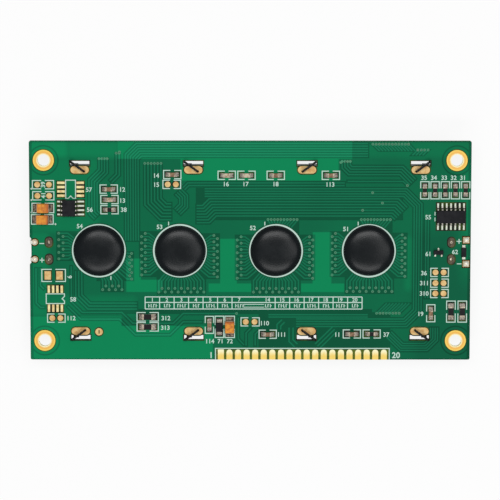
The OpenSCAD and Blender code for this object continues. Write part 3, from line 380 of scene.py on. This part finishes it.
def coat(name, main, bright):
    """Green coat on the board: brighter fields, soft patches, a faint weave and an uneven gloss."""
    made = Finish(name, Specular_IOR_Level=0.06)
    x, y, _ = made.axes()
    shaded = made.field(x, 49, 72, 3.0) * made.field(y, -40, 6, 3.0)
    right_end = made.field(x, 62, 72, 3.0) * made.field(y, -8, 26, 6.0)
    level = 0.2
    share = level - level * shaded + 0.5 * right_end
    for left, right, low, high, much in BRIGHT_FIELDS:
        soft = CRISP_EDGE if much == 1 else SOFT_EDGE
        field = made.field(x, left, right, soft) * made.field(y, low, high, soft) * much
        share = share.greater(field)
    thread = 2 * math.pi / (0.55 * MM)
    weave = (x * thread).sine() * (y * thread).sine()
    patches = made.noise(14.0, 3.0)
    grain = made.noise(0.35)
    tone = share + (patches - 0.5) * 0.3 + weave * 0.03 + (grain - 0.5) * 0.16
    height = grain + weave * 0.25
    return made.surface(made.mix(tone, main, bright), 0.42 + 0.16 * grain, height=height, depth=0.006)


def cover(node, *materials):
    """Puts materials in a CAD node's slots, the first on all its faces."""
    mesh = NODES[node].data
    mesh.materials.clear()
    for material in materials:
        mesh.materials.append(material)
    for polygon in mesh.polygons:
        polygon.material_index = 0
    return mesh


def cover_by(node, choose, *materials):
    """Puts materials on a CAD node's faces: choose gives the slot of a face."""
    for polygon in cover(node, *materials).polygons:
        polygon.material_index = choose(polygon)


def solids(node):
    """Faces of a CAD node, in a list for each of its solids."""
    mesh = NODES[node].data
    places = {}
    ids = [places.setdefault(tuple(v.co), len(places)) for v in mesh.vertices]
    parent = list(range(len(places)))

    def top(i):
        while parent[i] != i:
            parent[i] = parent[parent[i]]
            i = parent[i]
        return i

    for polygon in mesh.polygons:
        first = top(ids[polygon.vertices[0]])
        for v in polygon.vertices[1:]:
            parent[top(ids[v])] = first
    groups = {}
    for polygon in mesh.polygons:
        groups.setdefault(top(ids[polygon.vertices[0]]), []).append(polygon)
    return list(groups.values())


def corners(node, polygons):
    """Places of the corners of some faces."""
    mesh = NODES[node].data
    return [mesh.vertices[v].co for v in sorted({v for p in polygons for v in p.vertices})]


def spread(points):
    """Lowest corner, highest corner of some points."""
    low = Vector([min(p[i] for p in points) for i in range(3)])
    high = Vector([max(p[i] for p in points) for i in range(3)])
    return low, high


def hull(points):
    """Convex outline of points seen from above, anticlockwise and without straight corners."""
    flat = sorted({(round(p[0], 7), round(p[1], 7)) for p in points})

    def half(row):
        line = []
        for p in row:
            while len(line) > 1:
                (ax, ay), (bx, by) = line[-2:]
                if (bx - ax) * (p[1] - ay) - (by - ay) * (p[0] - ax) > 1e-12:
                    break
                line.pop()
            line.append(p)
        return line[:-1]

    return [Vector(p) for p in half(flat) + half(flat[::-1])]


def moved_out(outline, distance):
    """Anticlockwise convex outline moved outwards."""
    made = []
    for i, here in enumerate(outline):
        before = (here - outline[i - 1]).normalized()
        after = (outline[(i + 1) % len(outline)] - here).normalized()
        normals = [Vector((d.y, -d.x)) for d in (before, after)]
        made.append(here + (normals[0] + normals[1]) * distance / (1 + normals[0].dot(normals[1])))
    return made


def holds(box, place, margin):
    """Whether a place lies in a box, or closer beside it than margin, as seen from above."""
    return all(box[0][i] - margin < place[i] < box[1][i] + margin for i in (0, 1))


def add_ring(bm, inner, outer, low, high):
    """Closed flat ring between two outlines with equally many corners."""
    levels = [[bm.verts.new((p.x, p.y, z)) for p in line] for z in (low, high) for line in (inner, outer)]
    inner_low, outer_low, inner_high, outer_high = levels
    for i in range(len(inner)):
        j = (i + 1) % len(inner)
        bm.faces.new((inner_high[i], outer_high[i], outer_high[j], inner_high[j]))
        bm.faces.new((inner_low[j], outer_low[j], outer_low[i], inner_low[i]))
        bm.faces.new((outer_low[i], outer_low[j], outer_high[j], outer_high[i]))
        bm.faces.new((inner_low[j], inner_low[i], inner_high[i], inner_high[j]))


def add_plate(bm, outline, low, high):
    """Closed flat plate with an anticlockwise outline."""
    lower = [bm.verts.new((p.x, p.y, low)) for p in outline]
    upper = [bm.verts.new((p.x, p.y, high)) for p in outline]
    bm.faces.new(upper)
    bm.faces.new(lower[::-1])
    for i in range(len(outline)):
        j = (i + 1) % len(outline)
        bm.faces.new((lower[i], lower[j], upper[j], upper[i]))


def rectangle(x, y, w, h):
    """Anticlockwise outline of a rectangle about a place."""
    half = Vector((w / 2, h / 2))
    here = Vector((x, y))
    return [here + Vector((sx * half.x, sy * half.y)) for sx, sy in SQUARE]


def add_bar(bm, x, y, w, h, low=COAT_Z, high=SEAT_Z):
    """Flat bar about a place on the board, printed unless other levels are given."""
    add_plate(bm, rectangle(x, y, w, h), low, high)


def add_number(bm, text, x, y, height, turn=0.0):
    """Printed number about a place on the board, as a closed mesh."""
    digit_share = 0.72
    bold_share = 0.03
    curve = bpy.data.curves.new("number", "FONT")
    curve.body = text
    curve.size = height / digit_share
    curve.align_x = "CENTER"
    curve.align_y = "CENTER"
    curve.resolution_u = 3
    curve.extrude = (SEAT_Z - COAT_Z) / 2
    curve.offset = bold_share * height
    holder = bpy.data.objects.new("number", curve)
    bpy.context.scene.collection.objects.link(holder)
    bpy.context.view_layer.update()
    mesh = bpy.data.meshes.new_from_object(holder.evaluated_get(bpy.context.evaluated_depsgraph_get()))
    low, high = spread([v.co for v in mesh.vertices])
    middle = (low + high) / 2
    place = Matrix.Translation((x, y, (COAT_Z + SEAT_Z) / 2)) @ Matrix.Rotation(turn, 4, "Z")
    mesh.transform(place @ Matrix.Translation((-middle.x, -middle.y, 0)))
    bm.from_mesh(mesh)
    bpy.data.meshes.remove(mesh)
    bpy.data.objects.remove(holder)
    bpy.data.curves.remove(curve)


def add_piece(name, bm, material):
    """New piece of the module from a finished mesh."""
    bmesh.ops.remove_doubles(bm, verts=bm.verts, dist=1e-8)
    bmesh.ops.recalc_face_normals(bm, faces=bm.faces)
    mesh = bpy.data.meshes.new(name)
    bm.to_mesh(mesh)
    bm.free()
    mesh.materials.append(material)
    made = bpy.data.objects.new(name, mesh)
    bpy.context.scene.collection.objects.link(made)
    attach(made, "root")
    return made


def beyond(finish, node):
    """Distance of a surface from the middle line between a chip's two rows of legs."""
    axis = 1 - LEGS[node][0]
    low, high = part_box(node)
    return abs(finish.axes()[axis] - (low[axis] + high[axis]) / 2)


def span(node):
    """Axis of a node's length, the length and its middle."""
    low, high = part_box(node)
    size = high - low
    axis = 0 if size.x > size.y else 1
    return axis, size[axis], (low[axis] + high[axis]) / 2


def off_middle(node, polygon):
    """Distance of a face from the middle of a node, along the node's length."""
    axis, _, middle = span(node)
    return abs(polygon.center[axis] - middle)


class MODULE_OT_board(bpy.types.Operator):
    """Green coat over laminate, copper and vias"""

    bl_idname = "module.board"
    bl_label = "Circuit board"

    def execute(self, context):
        look = context.scene.module_board
        size = context.scene.module_marks
        edge = Finish("cut_laminate", Specular_IOR_Level=0.3)
        layers = edge.stretched(3.0, 0.07, 3.0)
        tone = edge.mix(layers, look.edge, look.bare)
        edge_coat = edge.surface(tone, 0.7 + 0.2 * layers, height=layers, depth=0.02)
        face = coat("board_coat", look.bare, look.bare_bright)

        def slot_of(polygon):
            if abs(polygon.normal.z) < 0.5:
                return 1
            return 0 if polygon.normal.z > 0 else 2

        cover_by("circuit_board", slot_of, face, edge_coat, mottled("underside_coat"))
        cover("ground_fill", coat("fill_coat", look.fill, look.fill_bright))
        cover("copper_tracks", coat("track_coat", look.track, look.track_bright))
        cover("plated_vias", mottled("via_coat"))

        middles = bmesh.new()
        radius = size.via_middle_d / 2
        sides = 10
        lift = 0.004 * MM
        for polygons in solids("plated_vias"):
            low, high = spread(corners("plated_vias", polygons))
            here = ((low + high) / 2).xy
            turns = [2 * math.pi * i / sides for i in range(sides)]
            outline = [here + radius * Vector((math.cos(a), math.sin(a))) for a in turns]
            add_plate(middles, outline, COAT_Z, high.z + lift)
        add_piece("via_middles", middles, mottled("via_middles"))
        return {"FINISHED"}


class MODULE_OT_plating(bpy.types.Operator):
    """Gold rings, edge contacts, bare pads, and the open coat round them drawn near-black as painted shade
    """

    bl_idname = "module.plating"
    bl_label = "Plated copper"

    # Slots for the tabs and the split of the test pad, in millimetres
    slot_xs = (-50.1, -16.7, 16.7, 50.1)
    slot_y = 25.875
    slot_l = 5.7
    slot_w = 1.45
    test_pad = (-44.7, -24.2)
    split_w = 0.3
    split_l = 1.1

    def execute(self, context):
        metal = context.scene.module_metal
        size = context.scene.module_marks
        self.plate_rings(metal)
        self.plate_contacts(metal)
        self.plate_pads(metal)

        # Open coat round eyelets, pads, joints and slots, and the test pad's split, drawn near-black as
        # painted shade
        openings = bmesh.new()
        sink = 0.08 * MM
        lift = 0.006 * MM
        top = COAT_Z + lift
        widths = {
            "mounting_eyelets": size.ring_opening,
            "bare_pads": size.pad_opening,
            "solder_joints": size.joint_opening,
        }
        for node, width in widths.items():
            for polygons in solids(node):
                outline = hull(corners(node, polygons))
                add_ring(openings, moved_out(outline, -sink), moved_out(outline, width), COPPER_Z, top)
        for x in self.slot_xs:
            for y in (-self.slot_y, self.slot_y):
                slot = rectangle(x * MM, y * MM, self.slot_l * MM, self.slot_w * MM)
                add_ring(openings, slot, moved_out(slot, size.slot_opening), COPPER_Z, top)
        x, y = self.test_pad
        add_bar(openings, x * MM, y * MM, self.split_w * MM, self.split_l * MM, COAT_Z, SEAT_Z + lift)
        add_piece("coat_openings", openings, mottled("open_laminate"))

        field = bmesh.new()
        low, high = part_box("edge_contacts")
        margin = 0.55 * MM
        middle, extent = (low + high) / 2, high - low
        add_bar(field, middle.x, middle.y, extent.x + 2 * margin, extent.y, COPPER_Z, top)
        add_piece("contact_field", field, mottled("contact_laminate"))
        return {"FINISHED"}

    def plate_rings(self, metal):
        """Gold with a pale painted highlight at the hole, deep in the middle of the ring and plain at its
        rim.
        """
        made = Finish("gold_rings")
        x, y, _ = made.axes()
        _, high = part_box("mounting_eyelets")
        ring_r = 3.1 * MM
        highlight_r, deep_r, deep_end_r, plain_r = 1.8 * MM, 2.3 * MM, 2.45 * MM, 2.95 * MM
        dx = abs(x) - (high.x - ring_r)
        dy = abs(y) - (high.y - ring_r)
        distance = (dx * dx + dy * dy) ** 0.5
        grain = made.noise(0.5, 3.0)
        reach = distance + (grain - 0.5) * 0.3 * MM
        inner = made.mix(made.step(reach, highlight_r, deep_r), metal.gold_pale, metal.gold_deep)
        tone = made.mix(made.step(reach, deep_end_r, plain_r), inner, metal.gold)
        gold = made.surface(tone, 0.34 + 0.2 * grain, metal=0.12, height=grain, depth=0.006)
        cover("mounting_eyelets", gold)

    def plate_contacts(self, metal):
        """Gold that is warm near the board's edge and pale towards the top of each contact, where a
        highlight is painted.
        """
        made = Finish("contact_gold")
        _, y, _ = made.axes()
        low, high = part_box("edge_contacts")
        streaks = made.stretched(0.5, 2.4)
        # Painted highlight: paler away from the board's edge
        highlight_rise = made.step(y + (streaks - 0.5) * 1.2 * MM, low.y + 0.9 * MM, high.y - 0.3 * MM)
        tone = made.mix(highlight_rise, metal.contact_warm, metal.contact)
        gold = made.surface(tone, 0.36 + 0.16 * streaks, metal=0.12, height=streaks, depth=0.004)
        cover("edge_contacts", gold)

    def plate_pads(self, metal):
        """Bare pads by their kind: plain, for legs, plated holes, and under the legs of each chip."""
        plain = [mottled(name) for name in ("bare_pads", "leg_pads", "fluxed_holes")]
        cover("bare_pads", *plain, *[self.wetted(metal, node) for node in LEGS])
        leg_pad_w = 0.9 * MM
        hole_h = 1 * MM
        chips = [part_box(node) for node in LEGS]
        for polygons in solids("bare_pads"):
            low, high = spread(corners("bare_pads", polygons))
            slot = 0
            if high.z - low.z > hole_h:
                slot = 2
            elif min(high.x - low.x, high.y - low.y) < leg_pad_w:
                here = (low + high) / 2
                over = [i for i, box in enumerate(chips) if holds(box, here, leg_pad_w)]
                slot = 3 + over[0] if over else 1
            for polygon in polygons:
                polygon.material_index = slot

    def wetted(self, metal, node):
        """Solder on the pads of a chip: bright in line with its legs, with painted shade beside them and
        towards the chip's body.
        """
        made = Finish(f"{node}_solder")
        axis, count = LEGS[node]
        low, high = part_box(node)
        pitch = (high[axis] - low[axis] - LEG_W) / (count - 1)
        turns = (made.axes()[axis] - (low[axis] + LEG_W / 2)) / pitch + 0.5
        off = abs(turns.fraction() - 0.5) * pitch
        ripples = made.noise(0.4, 3.0)
        bright_half, dark_half = 0.15 * MM, 0.3 * MM
        # Painted shade: darker beside each leg and towards the chip's body
        beside = made.step(off + (ripples - 0.5) * 0.15 * MM, bright_half, dark_half)
        dark_end, bright_start = 2.52 * MM, 2.66 * MM
        inner = made.step(beyond(made, node), bright_start, dark_end)
        tone = made.mix(beside.greater(inner), metal.wetted, metal.wetted_dark)
        return made.surface(tone, 0.28 + 0.2 * ripples, metal=0.1, height=ripples, depth=0.02)


class MODULE_OT_print(bpy.types.Operator):
    """Printed outlines, plain numbers and signs"""

    bl_idname = "module.print"
    bl_label = "Print"

    # Place in millimetres, number and turn in quarters of each number beside a part
    part_numbers = (
        (-47.4, 18.1, "57", 0), (-47.2, 12.2, "56", 0), (-37.5, 18.2, "12", 0), (-37.5, 14.9, "13", 0),
        (-37.2, 12.2, "38", 0), (-50.2, 7.3, "54", 0), (-27.5, 22.3, "14", 0), (-27.5, 19.6, "15", 0),
        (-7.0, 19.8, "16", 0), (-1.2, 19.8, "17", 0), (7.6, 19.8, "18", 0), (23.6, 19.7, "113", 0),
        (-26.7, 7.1, "53", 0), (0.8, 6.8, "52", 0), (28.1, 6.5, "51", 0), (51.1, 21.7, "35", 0),
        (54.0, 21.7, "34", 0), (57.0, 21.7, "33", 0), (59.8, 21.7, "32", 0), (62.4, 21.7, "31", 0),
        (52.4, 10.0, "55", 0), (52.4, -0.9, "61", 0), (60.4, -0.3, "62", 0), (51.3, -6.6, "36", 0),
        (51.3, -9.6, "311", 0), (51.4, -12.7, "310", 0), (50.5, -18.8, "19", 0), (40.3, -25.0, "37", 0),
        (25.8, -25.0, "11", 0), (9.3, -25.0, "111", 0), (4.4, -21.6, "110", 0), (-24.9, -20.1, "312", 0),
        (-25.1, -22.95, "313", 0), (-11.8, -27.0, "114", 0), (-8.9, -27.0, "71", 0), (-6.0, -27.0, "72", 0),
        (-53.3, -7.8, "9", 3), (-52.3, -14.5, "58", 0), (-52.8, -20.1, "112", 0),
        (-60.9, 19.6, "39", 1), (-60.85, 16.3, "41", 1),
    )
    # Places of the signs at the leads, and whether each is a plus
    lead_signs = ((-61.4, 2.15, False), (-61.4, -2.8, True), (61.55, 2.85, True), (61.65, -3.85, False))
    # Places of the small plus signs beside parts
    small_signs = ((-64.35, 18.4), (-64.35, 15.05), (-64.35, 11.4), (-57.35, 7.9))
    # Table of the pins: its ends, the width of a cell, its two rows and the bars in its middle
    table_left = -31.03
    table_right = 33.07
    table_cell = 4.28
    pin_row_y = -14.58
    name_row_y = -16.38
    middle_x = 1.02
    middle_l = 6.2
    middle_w = 0.2
    middle_dy = 0.42

    def execute(self, context):
        look = context.scene.module_board
        size = context.scene.module_marks
        made = Finish("printed_ink", Specular_IOR_Level=0.25)
        worn = made.noise(0.25, 3.0)
        thin = made.step(worn, 0.62, 0.8)
        tone = made.mix(thin * 0.35, look.ink, look.track_bright)
        ink = made.surface(tone, 0.6 + 0.2 * worn, height=worn, depth=0.006)
        cover("legend_print", ink)

        numbers = bmesh.new()
        for x, y, text, turn in self.part_numbers:
            add_number(numbers, text, x * MM, y * MM, size.part_number_h, turn * math.pi / 2)
        add_piece("part_numbers", numbers, ink)

        pins = bmesh.new()
        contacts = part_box("edge_contacts")
        end_y = contacts[0].y + size.end_number_h / 2 + 0.45 * MM
        add_number(pins, "1", contacts[0].x - 2 * MM, end_y, size.end_number_h)
        add_number(pins, "20", contacts[1].x + 2.7 * MM, end_y, size.end_number_h)
        for i in range(7):
            for x, number in (
                (self.table_left + (i + 0.5) * self.table_cell, 1 + i),
                (self.table_right - (i + 0.5) * self.table_cell, 20 - i),
            ):
                add_number(pins, str(number), x * MM, self.pin_row_y * MM, size.pin_number_h)
                self.add_name_bars(pins, x * MM, number)
        for dy in (self.middle_dy, -self.middle_dy):
            y = (self.name_row_y + dy) * MM
            add_bar(pins, self.middle_x * MM, y, self.middle_l * MM, self.middle_w * MM)
        add_piece("pin_numbers", pins, ink)

        signs = bmesh.new()
        for x, y, plus in self.lead_signs:
            self.add_sign(signs, x * MM, y * MM, size.sign_l, size.stroke, plus)
        for x, y in self.small_signs:
            self.add_sign(signs, x * MM, y * MM, 0.45 * size.sign_l, 0.75 * size.stroke, True)
        add_piece("lead_signs", signs, ink)
        return {"FINISHED"}

    def add_name_bars(self, bm, x, number):
        """Row of short bars in the lower row of the table, of three or four strokes."""
        count = 3 + number % 2
        y = self.name_row_y * MM
        pitch, width, height = 0.72 * MM, 0.24 * MM, 1.05 * MM
        side_x, side_y, side_l = 0.22 * MM, 0.4 * MM, 0.3 * MM
        for i in range(count):
            at = x + (i - (count - 1) / 2) * pitch
            level = 1 - (i + number) % 3
            add_bar(bm, at, y, width, height)
            add_bar(bm, at + side_x, y + level * side_y, side_l, width)

    def add_sign(self, bm, x, y, across, stroke, plus):
        """Minus sign, or a plus sign with two arms more."""
        add_bar(bm, x, y, across, stroke)
        if plus:
            arm = (across - stroke) / 2
            for side in (-1, 1):
                add_bar(bm, x, y + side * (stroke + arm) / 2, stroke, arm)


class MODULE_OT_solder(bpy.types.Operator):
    """Solder, the backlight's leads and the legs of chips"""

    bl_idname = "module.solder"
    bl_label = "Solder and legs"

    def execute(self, context):
        metal = context.scene.module_metal
        fillet = Finish("solder_fillets")
        _, _, z = fillet.axes()
        ripples = fillet.noise(0.5, 3.0)
        # Painted shade: each fillet is darker towards its foot
        rise = fillet.step(z + (ripples - 0.5) * 0.4 * MM, COAT_Z, COAT_Z + 0.45 * MM)
        bright = fillet.mix(rise, metal.solder_dark, metal.solder)
        fillets = fillet.surface(bright, 0.26 + 0.2 * ripples, metal=0.3, height=ripples, depth=0.04)
        others = [mottled(name) for name in ("solder_drops", "filled_holes", "dull_fillets")]
        lead_x, hole_x, reach_y, fillet_l = 61 * MM, 54 * MM, 5 * MM, 1 * MM
        dull_boxes = [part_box(node) for node in TANTALUMS]

        def slot_of(polygon):
            if any(holds(box, polygon.center, fillet_l) for box in dull_boxes):
                return 3
            out = abs(polygon.center.x)
            if out < hole_x or abs(polygon.center.y) > reach_y:
                return 0
            return 1 if out > lead_x else 2

        cover_by("solder_joints", slot_of, fillets, *others)
        cover("backlight_leads", mottled("tinned_metal"))
        slope_start, slope_end, slope_soft = 2.2, 2.58, 0.07
        for node in LEGS:
            made = Finish(f"{node}_tin")
            grain = made.noise(0.3, 3.0)
            # Painted shade: the sloped stretch of each leg is drawn dark
            slope_shade = made.field(beyond(made, node), slope_start, slope_end, slope_soft)
            tone = made.mix(slope_shade, made.mix(grain, metal.tin, metal.solder), metal.tin_dark)
            cover(node, made.surface(tone, 0.26 + 0.15 * grain, metal=0.2, height=grain, depth=0.008))
        return {"FINISHED"}


class MODULE_OT_blobs(bpy.types.Operator):
    """Black epoxy over the driver chips"""

    bl_idname = "module.blobs"
    bl_label = "Epoxy drops"

    def execute(self, context):
        look = context.scene.module_parts
        made = Finish("black_epoxy", Specular_IOR_Level=0.22)
        haze = made.step(made.noise(4.5, 3.0), 0.42, 0.7)
        grain = made.noise(0.22)
        waves = made.noise(6.0, 1.0)
        base = made.mix(haze * 0.7, look.epoxy, look.epoxy_pale)
        rough = 0.22 + 0.05 * grain + 0.05 * haze
        epoxy = made.surface(base, rough, height=grain * 0.06 + waves, depth=0.04)
        skirts = bmesh.new()
        for i, node in enumerate(BLOBS):
            for polygon in cover(node, epoxy).polygons:
                polygon.use_smooth = True
            self.add_skirt(skirts, node, i, context.scene.module_marks.skirt)
        add_piece("epoxy_skirts", skirts, epoxy)
        return {"FINISHED"}

    def add_skirt(self, bm, node, number, width):
        """Thin uneven ring where the epoxy has run over the printed ring."""
        low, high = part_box(node)
        middle = ((low + high) / 2).xy
        radius = (high.x - low.x) / 2
        sides = 72
        lap = 0.3 * MM
        inner, outer = [], []
        for i in range(sides):
            a = 2 * math.pi * i / sides
            out = Vector((math.cos(a), math.sin(a)))
            waves = 0.5 * math.sin(a + 2.1 * number) + 0.3 * math.sin(3 * a + number)
            inner.append(middle + out * (radius - lap))
            outer.append(middle + out * (radius + width * (1 + 0.6 * waves)))
        thickness = 0.03 * MM
        add_ring(bm, inner, outer, COPPER_Z, SEAT_Z + thickness)


class MODULE_OT_parts(bpy.types.Operator):
    """Chips, capacitors, resistors and other small parts"""

    bl_idname = "module.parts"
    bl_label = "Small parts"

    # Share of a chip's length from its middle to an end cap
    middle_share = 0.27

    def execute(self, context):
        look = context.scene.module_parts
        legs, caps, mould = [mottled(name) for name in ("tinned_metal", "end_caps", "moulded_black")]
        for node in ("amplifier_body", "logic_body"):
            cover(node, mould)
        low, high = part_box("transistor")
        body_half = 0.66 * MM
        middle_y = (low.y + high.y) / 2
        cover_by("transistor", lambda p: int(abs(p.center.y - middle_y) > body_half), mould, legs)
        diode_half = 1.405 * MM
        self.cover_ends("diode", diode_half, mould, legs)

        for node in CAPACITORS:
            body = mottled("pale_ceramic" if node in PALE_CAPACITORS else "brown_ceramic")
            self.cover_ends(node, self.inside(node), body, caps)
        for node in RESISTORS:
            self.cover_resistor(node, mottled("black_glaze"), caps, mottled("white_alumina"))

        bodies = {node: self.resin(look, node) for node in TANTALUMS}
        bodies["moulded_capacitor"] = mould
        foil = 0.125 * MM
        for node, body in bodies.items():
            _, node_l, _ = span(node)
            self.cover_ends(node, node_l / 2 - foil, body, caps)
        return {"FINISHED"}

    def inside(self, node):
        """How far the middle of a chip's length reaches, up to its end caps."""
        _, node_l, _ = span(node)
        return self.middle_share * node_l

    def cover_resistor(self, node, top, ends, sides):
        """Materials on the upper face of a chip, on its end caps and on its sides."""
        middle_half = self.inside(node)

        def slot_of(polygon):
            if off_middle(node, polygon) > middle_half:
                return 1
            return 0 if polygon.normal.z > 0.5 else 2

        cover_by(node, slot_of, top, ends, sides)

    def cover_ends(self, node, body_half, body, ends):
        """One material on a body and another beyond body_half from its middle."""
        cover_by(node, lambda p: int(off_middle(node, p) > body_half), body, ends)

    def resin(self, look, node):
        """Orange resin with a darker stripe at one end of the body."""
        made = Finish(f"{node}_resin")
        x, y, _ = made.axes()
        low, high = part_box(node)
        upright = high.y - low.y > high.x - low.x
        along = y if upright else x
        end = high.y if upright else high.x
        patches = made.step(made.noise(0.9, 4.0), 0.36, 0.68)
        grain = made.noise(0.12)
        stripe_start, stripe_full = end - 0.85 * MM, end - 0.7 * MM
        band = made.step(along + (grain - 0.5) * 0.1 * MM, stripe_start, stripe_full)
        base = made.mix(band * 0.75, made.mix(patches, look.resin, look.resin_deep), look.stripe)
        return made.surface(base, 0.5 + 0.15 * grain, height=grain, depth=0.02)


class MODULE_OT_bezel(bpy.types.Operator):
    """Satin black bezel with its twisted tabs"""

    bl_idname = "module.bezel"
    bl_label = "Bezel"

    def execute(self, context):
        look = context.scene.module_display
        made = Finish("bezel_paint", Specular_IOR_Level=0.18)
        # Paler streaks: partly rubbed paint, partly painted sheen on the black
        rubbed_and_sheen = made.step(made.stretched(9.0, 1.6, 4.0), 0.6, 0.78)
        grain = made.noise(0.16)
        base = made.mix(rubbed_and_sheen * 0.5, look.paint, look.paint_pale)
        rough = 0.36 + 0.14 * grain + 0.05 * rubbed_and_sheen
        cover("bezel", made.surface(base, rough, height=grain, depth=0.015))
        return {"FINISHED"}


class MODULE_OT_display(bpy.types.Operator):
    """Glass, films and contact strips of the display"""

    bl_idname = "module.display"
    bl_label = "Display"

    def execute(self, context):
        look = context.scene.module_display
        film = Finish("front_film")
        x, y, _ = film.axes()
        dot = 0.508 * MM
        line_share = 0.12
        half_w, half_h = 48.8 * MM, 16.3 * MM
        rows = []
        for axis, reach in ((x, half_w), (y, half_h)):
            cell = (axis / dot).fraction()
            rows.append((cell > line_share) * (abs(axis) < reach))
        smear = film.noise(14.0, 3.0)
        tone = film.mix(rows[0] * rows[1] * 0.6, look.film, look.film_dots)
        cover("front_polariser", film.surface(tone, 0.16 + 0.1 * smear, height=smear, depth=0.01))
        cover("rear_polariser", mottled("rear_film"))
        for node in ("front_glass", "rear_glass"):
            cover(node, mottled("display_glass"))
        strip = Finish("contact_rubber")
        x, _, _ = strip.axes()
        layer = 0.18 * MM
        layers = (x / layer).fraction() > 0.5
        grain = strip.noise(0.3)
        tone = strip.mix(layers, look.rubber, look.rubber_line)
        rubber = strip.surface(tone, 0.75 + 0.15 * grain, height=grain, depth=0.02)
        for node in ("upper_contact_strip", "lower_contact_strip"):
            cover(node, rubber)
        return {"FINISHED"}


class MODULE_OT_backlight(bpy.types.Operator):
    """Frame, light guide, sheets and lamps behind the display"""

    bl_idname = "module.backlight"
    bl_label = "Backlight"

    def execute(self, context):
        finishes = {
            "backlight_frame": "white_mould",
            "light_guide": "clear_acrylic",
            "diffuser_sheet": "diffuser",
            "reflector_sheet": "reflector",
            "lamp_chips": "lamp_resin",
            "left_lamp_board": "lamp_board_coat",
            "right_lamp_board": "lamp_board_coat",
        }
        for node, name in finishes.items():
            cover(node, mottled(name))
        return {"FINISHED"}


class MODULE_OT_stage(bpy.types.Operator):
    """Pale floor, soft lamps and the camera over the board"""

    bl_idname = "module.stage"
    bl_label = "Stage"

    # Middle of the view on the board, in millimetres
    aim_mm = (-0.103, 0.242)
    # Place and size of each lamp, in metres
    lamps = {
        "upper_lamp": ((0, 0.34, 1.15), (0.8, 0.32)),
        "lower_lamp": ((0, -0.6, 1.04), (0.8, 0.3)),
        "right_lamp": ((0.5, -0.1, 1.1), (0.36, 0.6)),
    }

    def execute(self, context):
        look = context.scene.module_stage
        scene = context.scene
        scene.view_settings.view_transform = "Standard"
        self.lay_floor(look)
        self.light_sky(look)
        for name, (place, size) in self.lamps.items():
            self.hang_lamp(name, Vector(place), getattr(look, name), size)
        self.place_camera(look)
        return {"FINISHED"}

    def seen(self, finish):
        """1 where the camera sees a surface directly, in a reflection or through glass."""
        rays = [
            finish.node("ShaderNodeLightPath", {}, {}, ray)
            for ray in ("Is Camera Ray", "Is Glossy Ray", "Is Transmission Ray")
        ]
        total = rays[0] + rays[1] + rays[2]
        return total.lesser(1.0)

    def lay_floor(self, look):
        reach = 2.5
        below = -0.05 * MM
        bm = bmesh.new()
        bm.faces.new([bm.verts.new((x * reach, y * reach, below)) for x, y in SQUARE])
        mesh = bpy.data.meshes.new("floor")
        bm.to_mesh(mesh)
        bm.free()
        floor = bpy.data.objects.new("floor", mesh)
        bpy.context.scene.collection.objects.link(floor)
        made = Finish("floor_white", Specular_IOR_Level=0.1)
        cloud = made.noise(160.0)
        grey = (0.8, 0.8, 0.8)
        made.surface(made.mix(cloud * 0.1, look.floor_white, grey), 0.8 + 0.1 * cloud)
        glow = made.node("ShaderNodeEmission", {}, {"Color": (1, 1, 1), "Strength": 1.0})
        lit = Wire(made, made.shader.outputs[0])
        both = made.node("ShaderNodeMixShader", {}, {0: self.seen(made) * look.floor_glow, 1: lit, 2: glow})
        output = made.tree.nodes["Material Output"]
        made.put(output.inputs["Surface"], both)
        mesh.materials.append(made.material)

    def light_sky(self, look):
        world = bpy.data.worlds.new("sky")
        world.use_nodes = True
        bpy.context.scene.world = world
        background = world.node_tree.nodes["Background"]
        background.inputs["Color"].default_value = (1, 1, 1, 1)
        background.inputs["Strength"].default_value = look.sky

    def hang_lamp(self, name, place, power, size):
        lamp = bpy.data.lights.new(name, "AREA")
        lamp.energy = power
        lamp.shape = "RECTANGLE"
        lamp.size, lamp.size_y = size
        holder = bpy.data.objects.new(name, lamp)
        holder.location = place
        holder.rotation_euler = (-place).to_track_quat("-Z", "Y").to_euler()
        holder.visible_camera = False
        bpy.context.scene.collection.objects.link(holder)

    def place_camera(self, look):
        camera = bpy.data.cameras.new("camera")
        camera.sensor_width = 36
        camera.lens = look.lens
        camera.clip_start = 0.01
        holder = bpy.data.objects.new("camera", camera)
        lean = Vector((0, math.sin(look.tilt), math.cos(look.tilt)))
        aim = Vector((self.aim_mm[0] * MM, self.aim_mm[1] * MM, COAT_Z))
        holder.location = aim + lean * look.distance
        holder.rotation_euler = (-look.tilt, 0, look.roll)
        bpy.context.scene.collection.objects.link(holder)
        bpy.context.scene.camera = holder


GROUPS = {
    "module_board": BoardLook,
    "module_metal": MetalLook,
    "module_parts": PartLook,
    "module_display": DisplayLook,
    "module_marks": MarkSize,
    "module_stage": StageLook,
}
OPERATORS = (
    MODULE_OT_board, MODULE_OT_plating, MODULE_OT_print, MODULE_OT_solder, MODULE_OT_blobs, MODULE_OT_parts,
    MODULE_OT_bezel, MODULE_OT_display, MODULE_OT_backlight, MODULE_OT_stage,
)


class MODULE_PT_panel(bpy.types.Panel):
    """Lists the pieces of the display module and their colours and sizes"""

    bl_idname = "MODULE_PT_panel"
    bl_label = "Display module"
    bl_space_type = "VIEW_3D"
    bl_region_type = "UI"
    bl_category = "Display module"

    def draw(self, context):
        for operator in OPERATORS:
            self.layout.operator(operator.bl_idname)
        for name, group in GROUPS.items():
            box = self.layout.box()
            for field in group.__annotations__:
                box.prop(getattr(context.scene, name), field)


def register():
    for cls in (*GROUPS.values(), *OPERATORS, MODULE_PT_panel):
        bpy.utils.register_class(cls)
    for name, group in GROUPS.items():
        setattr(bpy.types.Scene, name, bpy.props.PointerProperty(type=group))


def unregister():
    for name in GROUPS:
        delattr(bpy.types.Scene, name)
    for cls in reversed((*GROUPS.values(), *OPERATORS, MODULE_PT_panel)):
        bpy.utils.unregister_class(cls)


def main():
    register()
    for operator in OPERATORS:
        group, name = operator.bl_idname.split(".")
        getattr(getattr(bpy.ops, group), name)()
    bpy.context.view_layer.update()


if __name__ == "__main__":
    main()
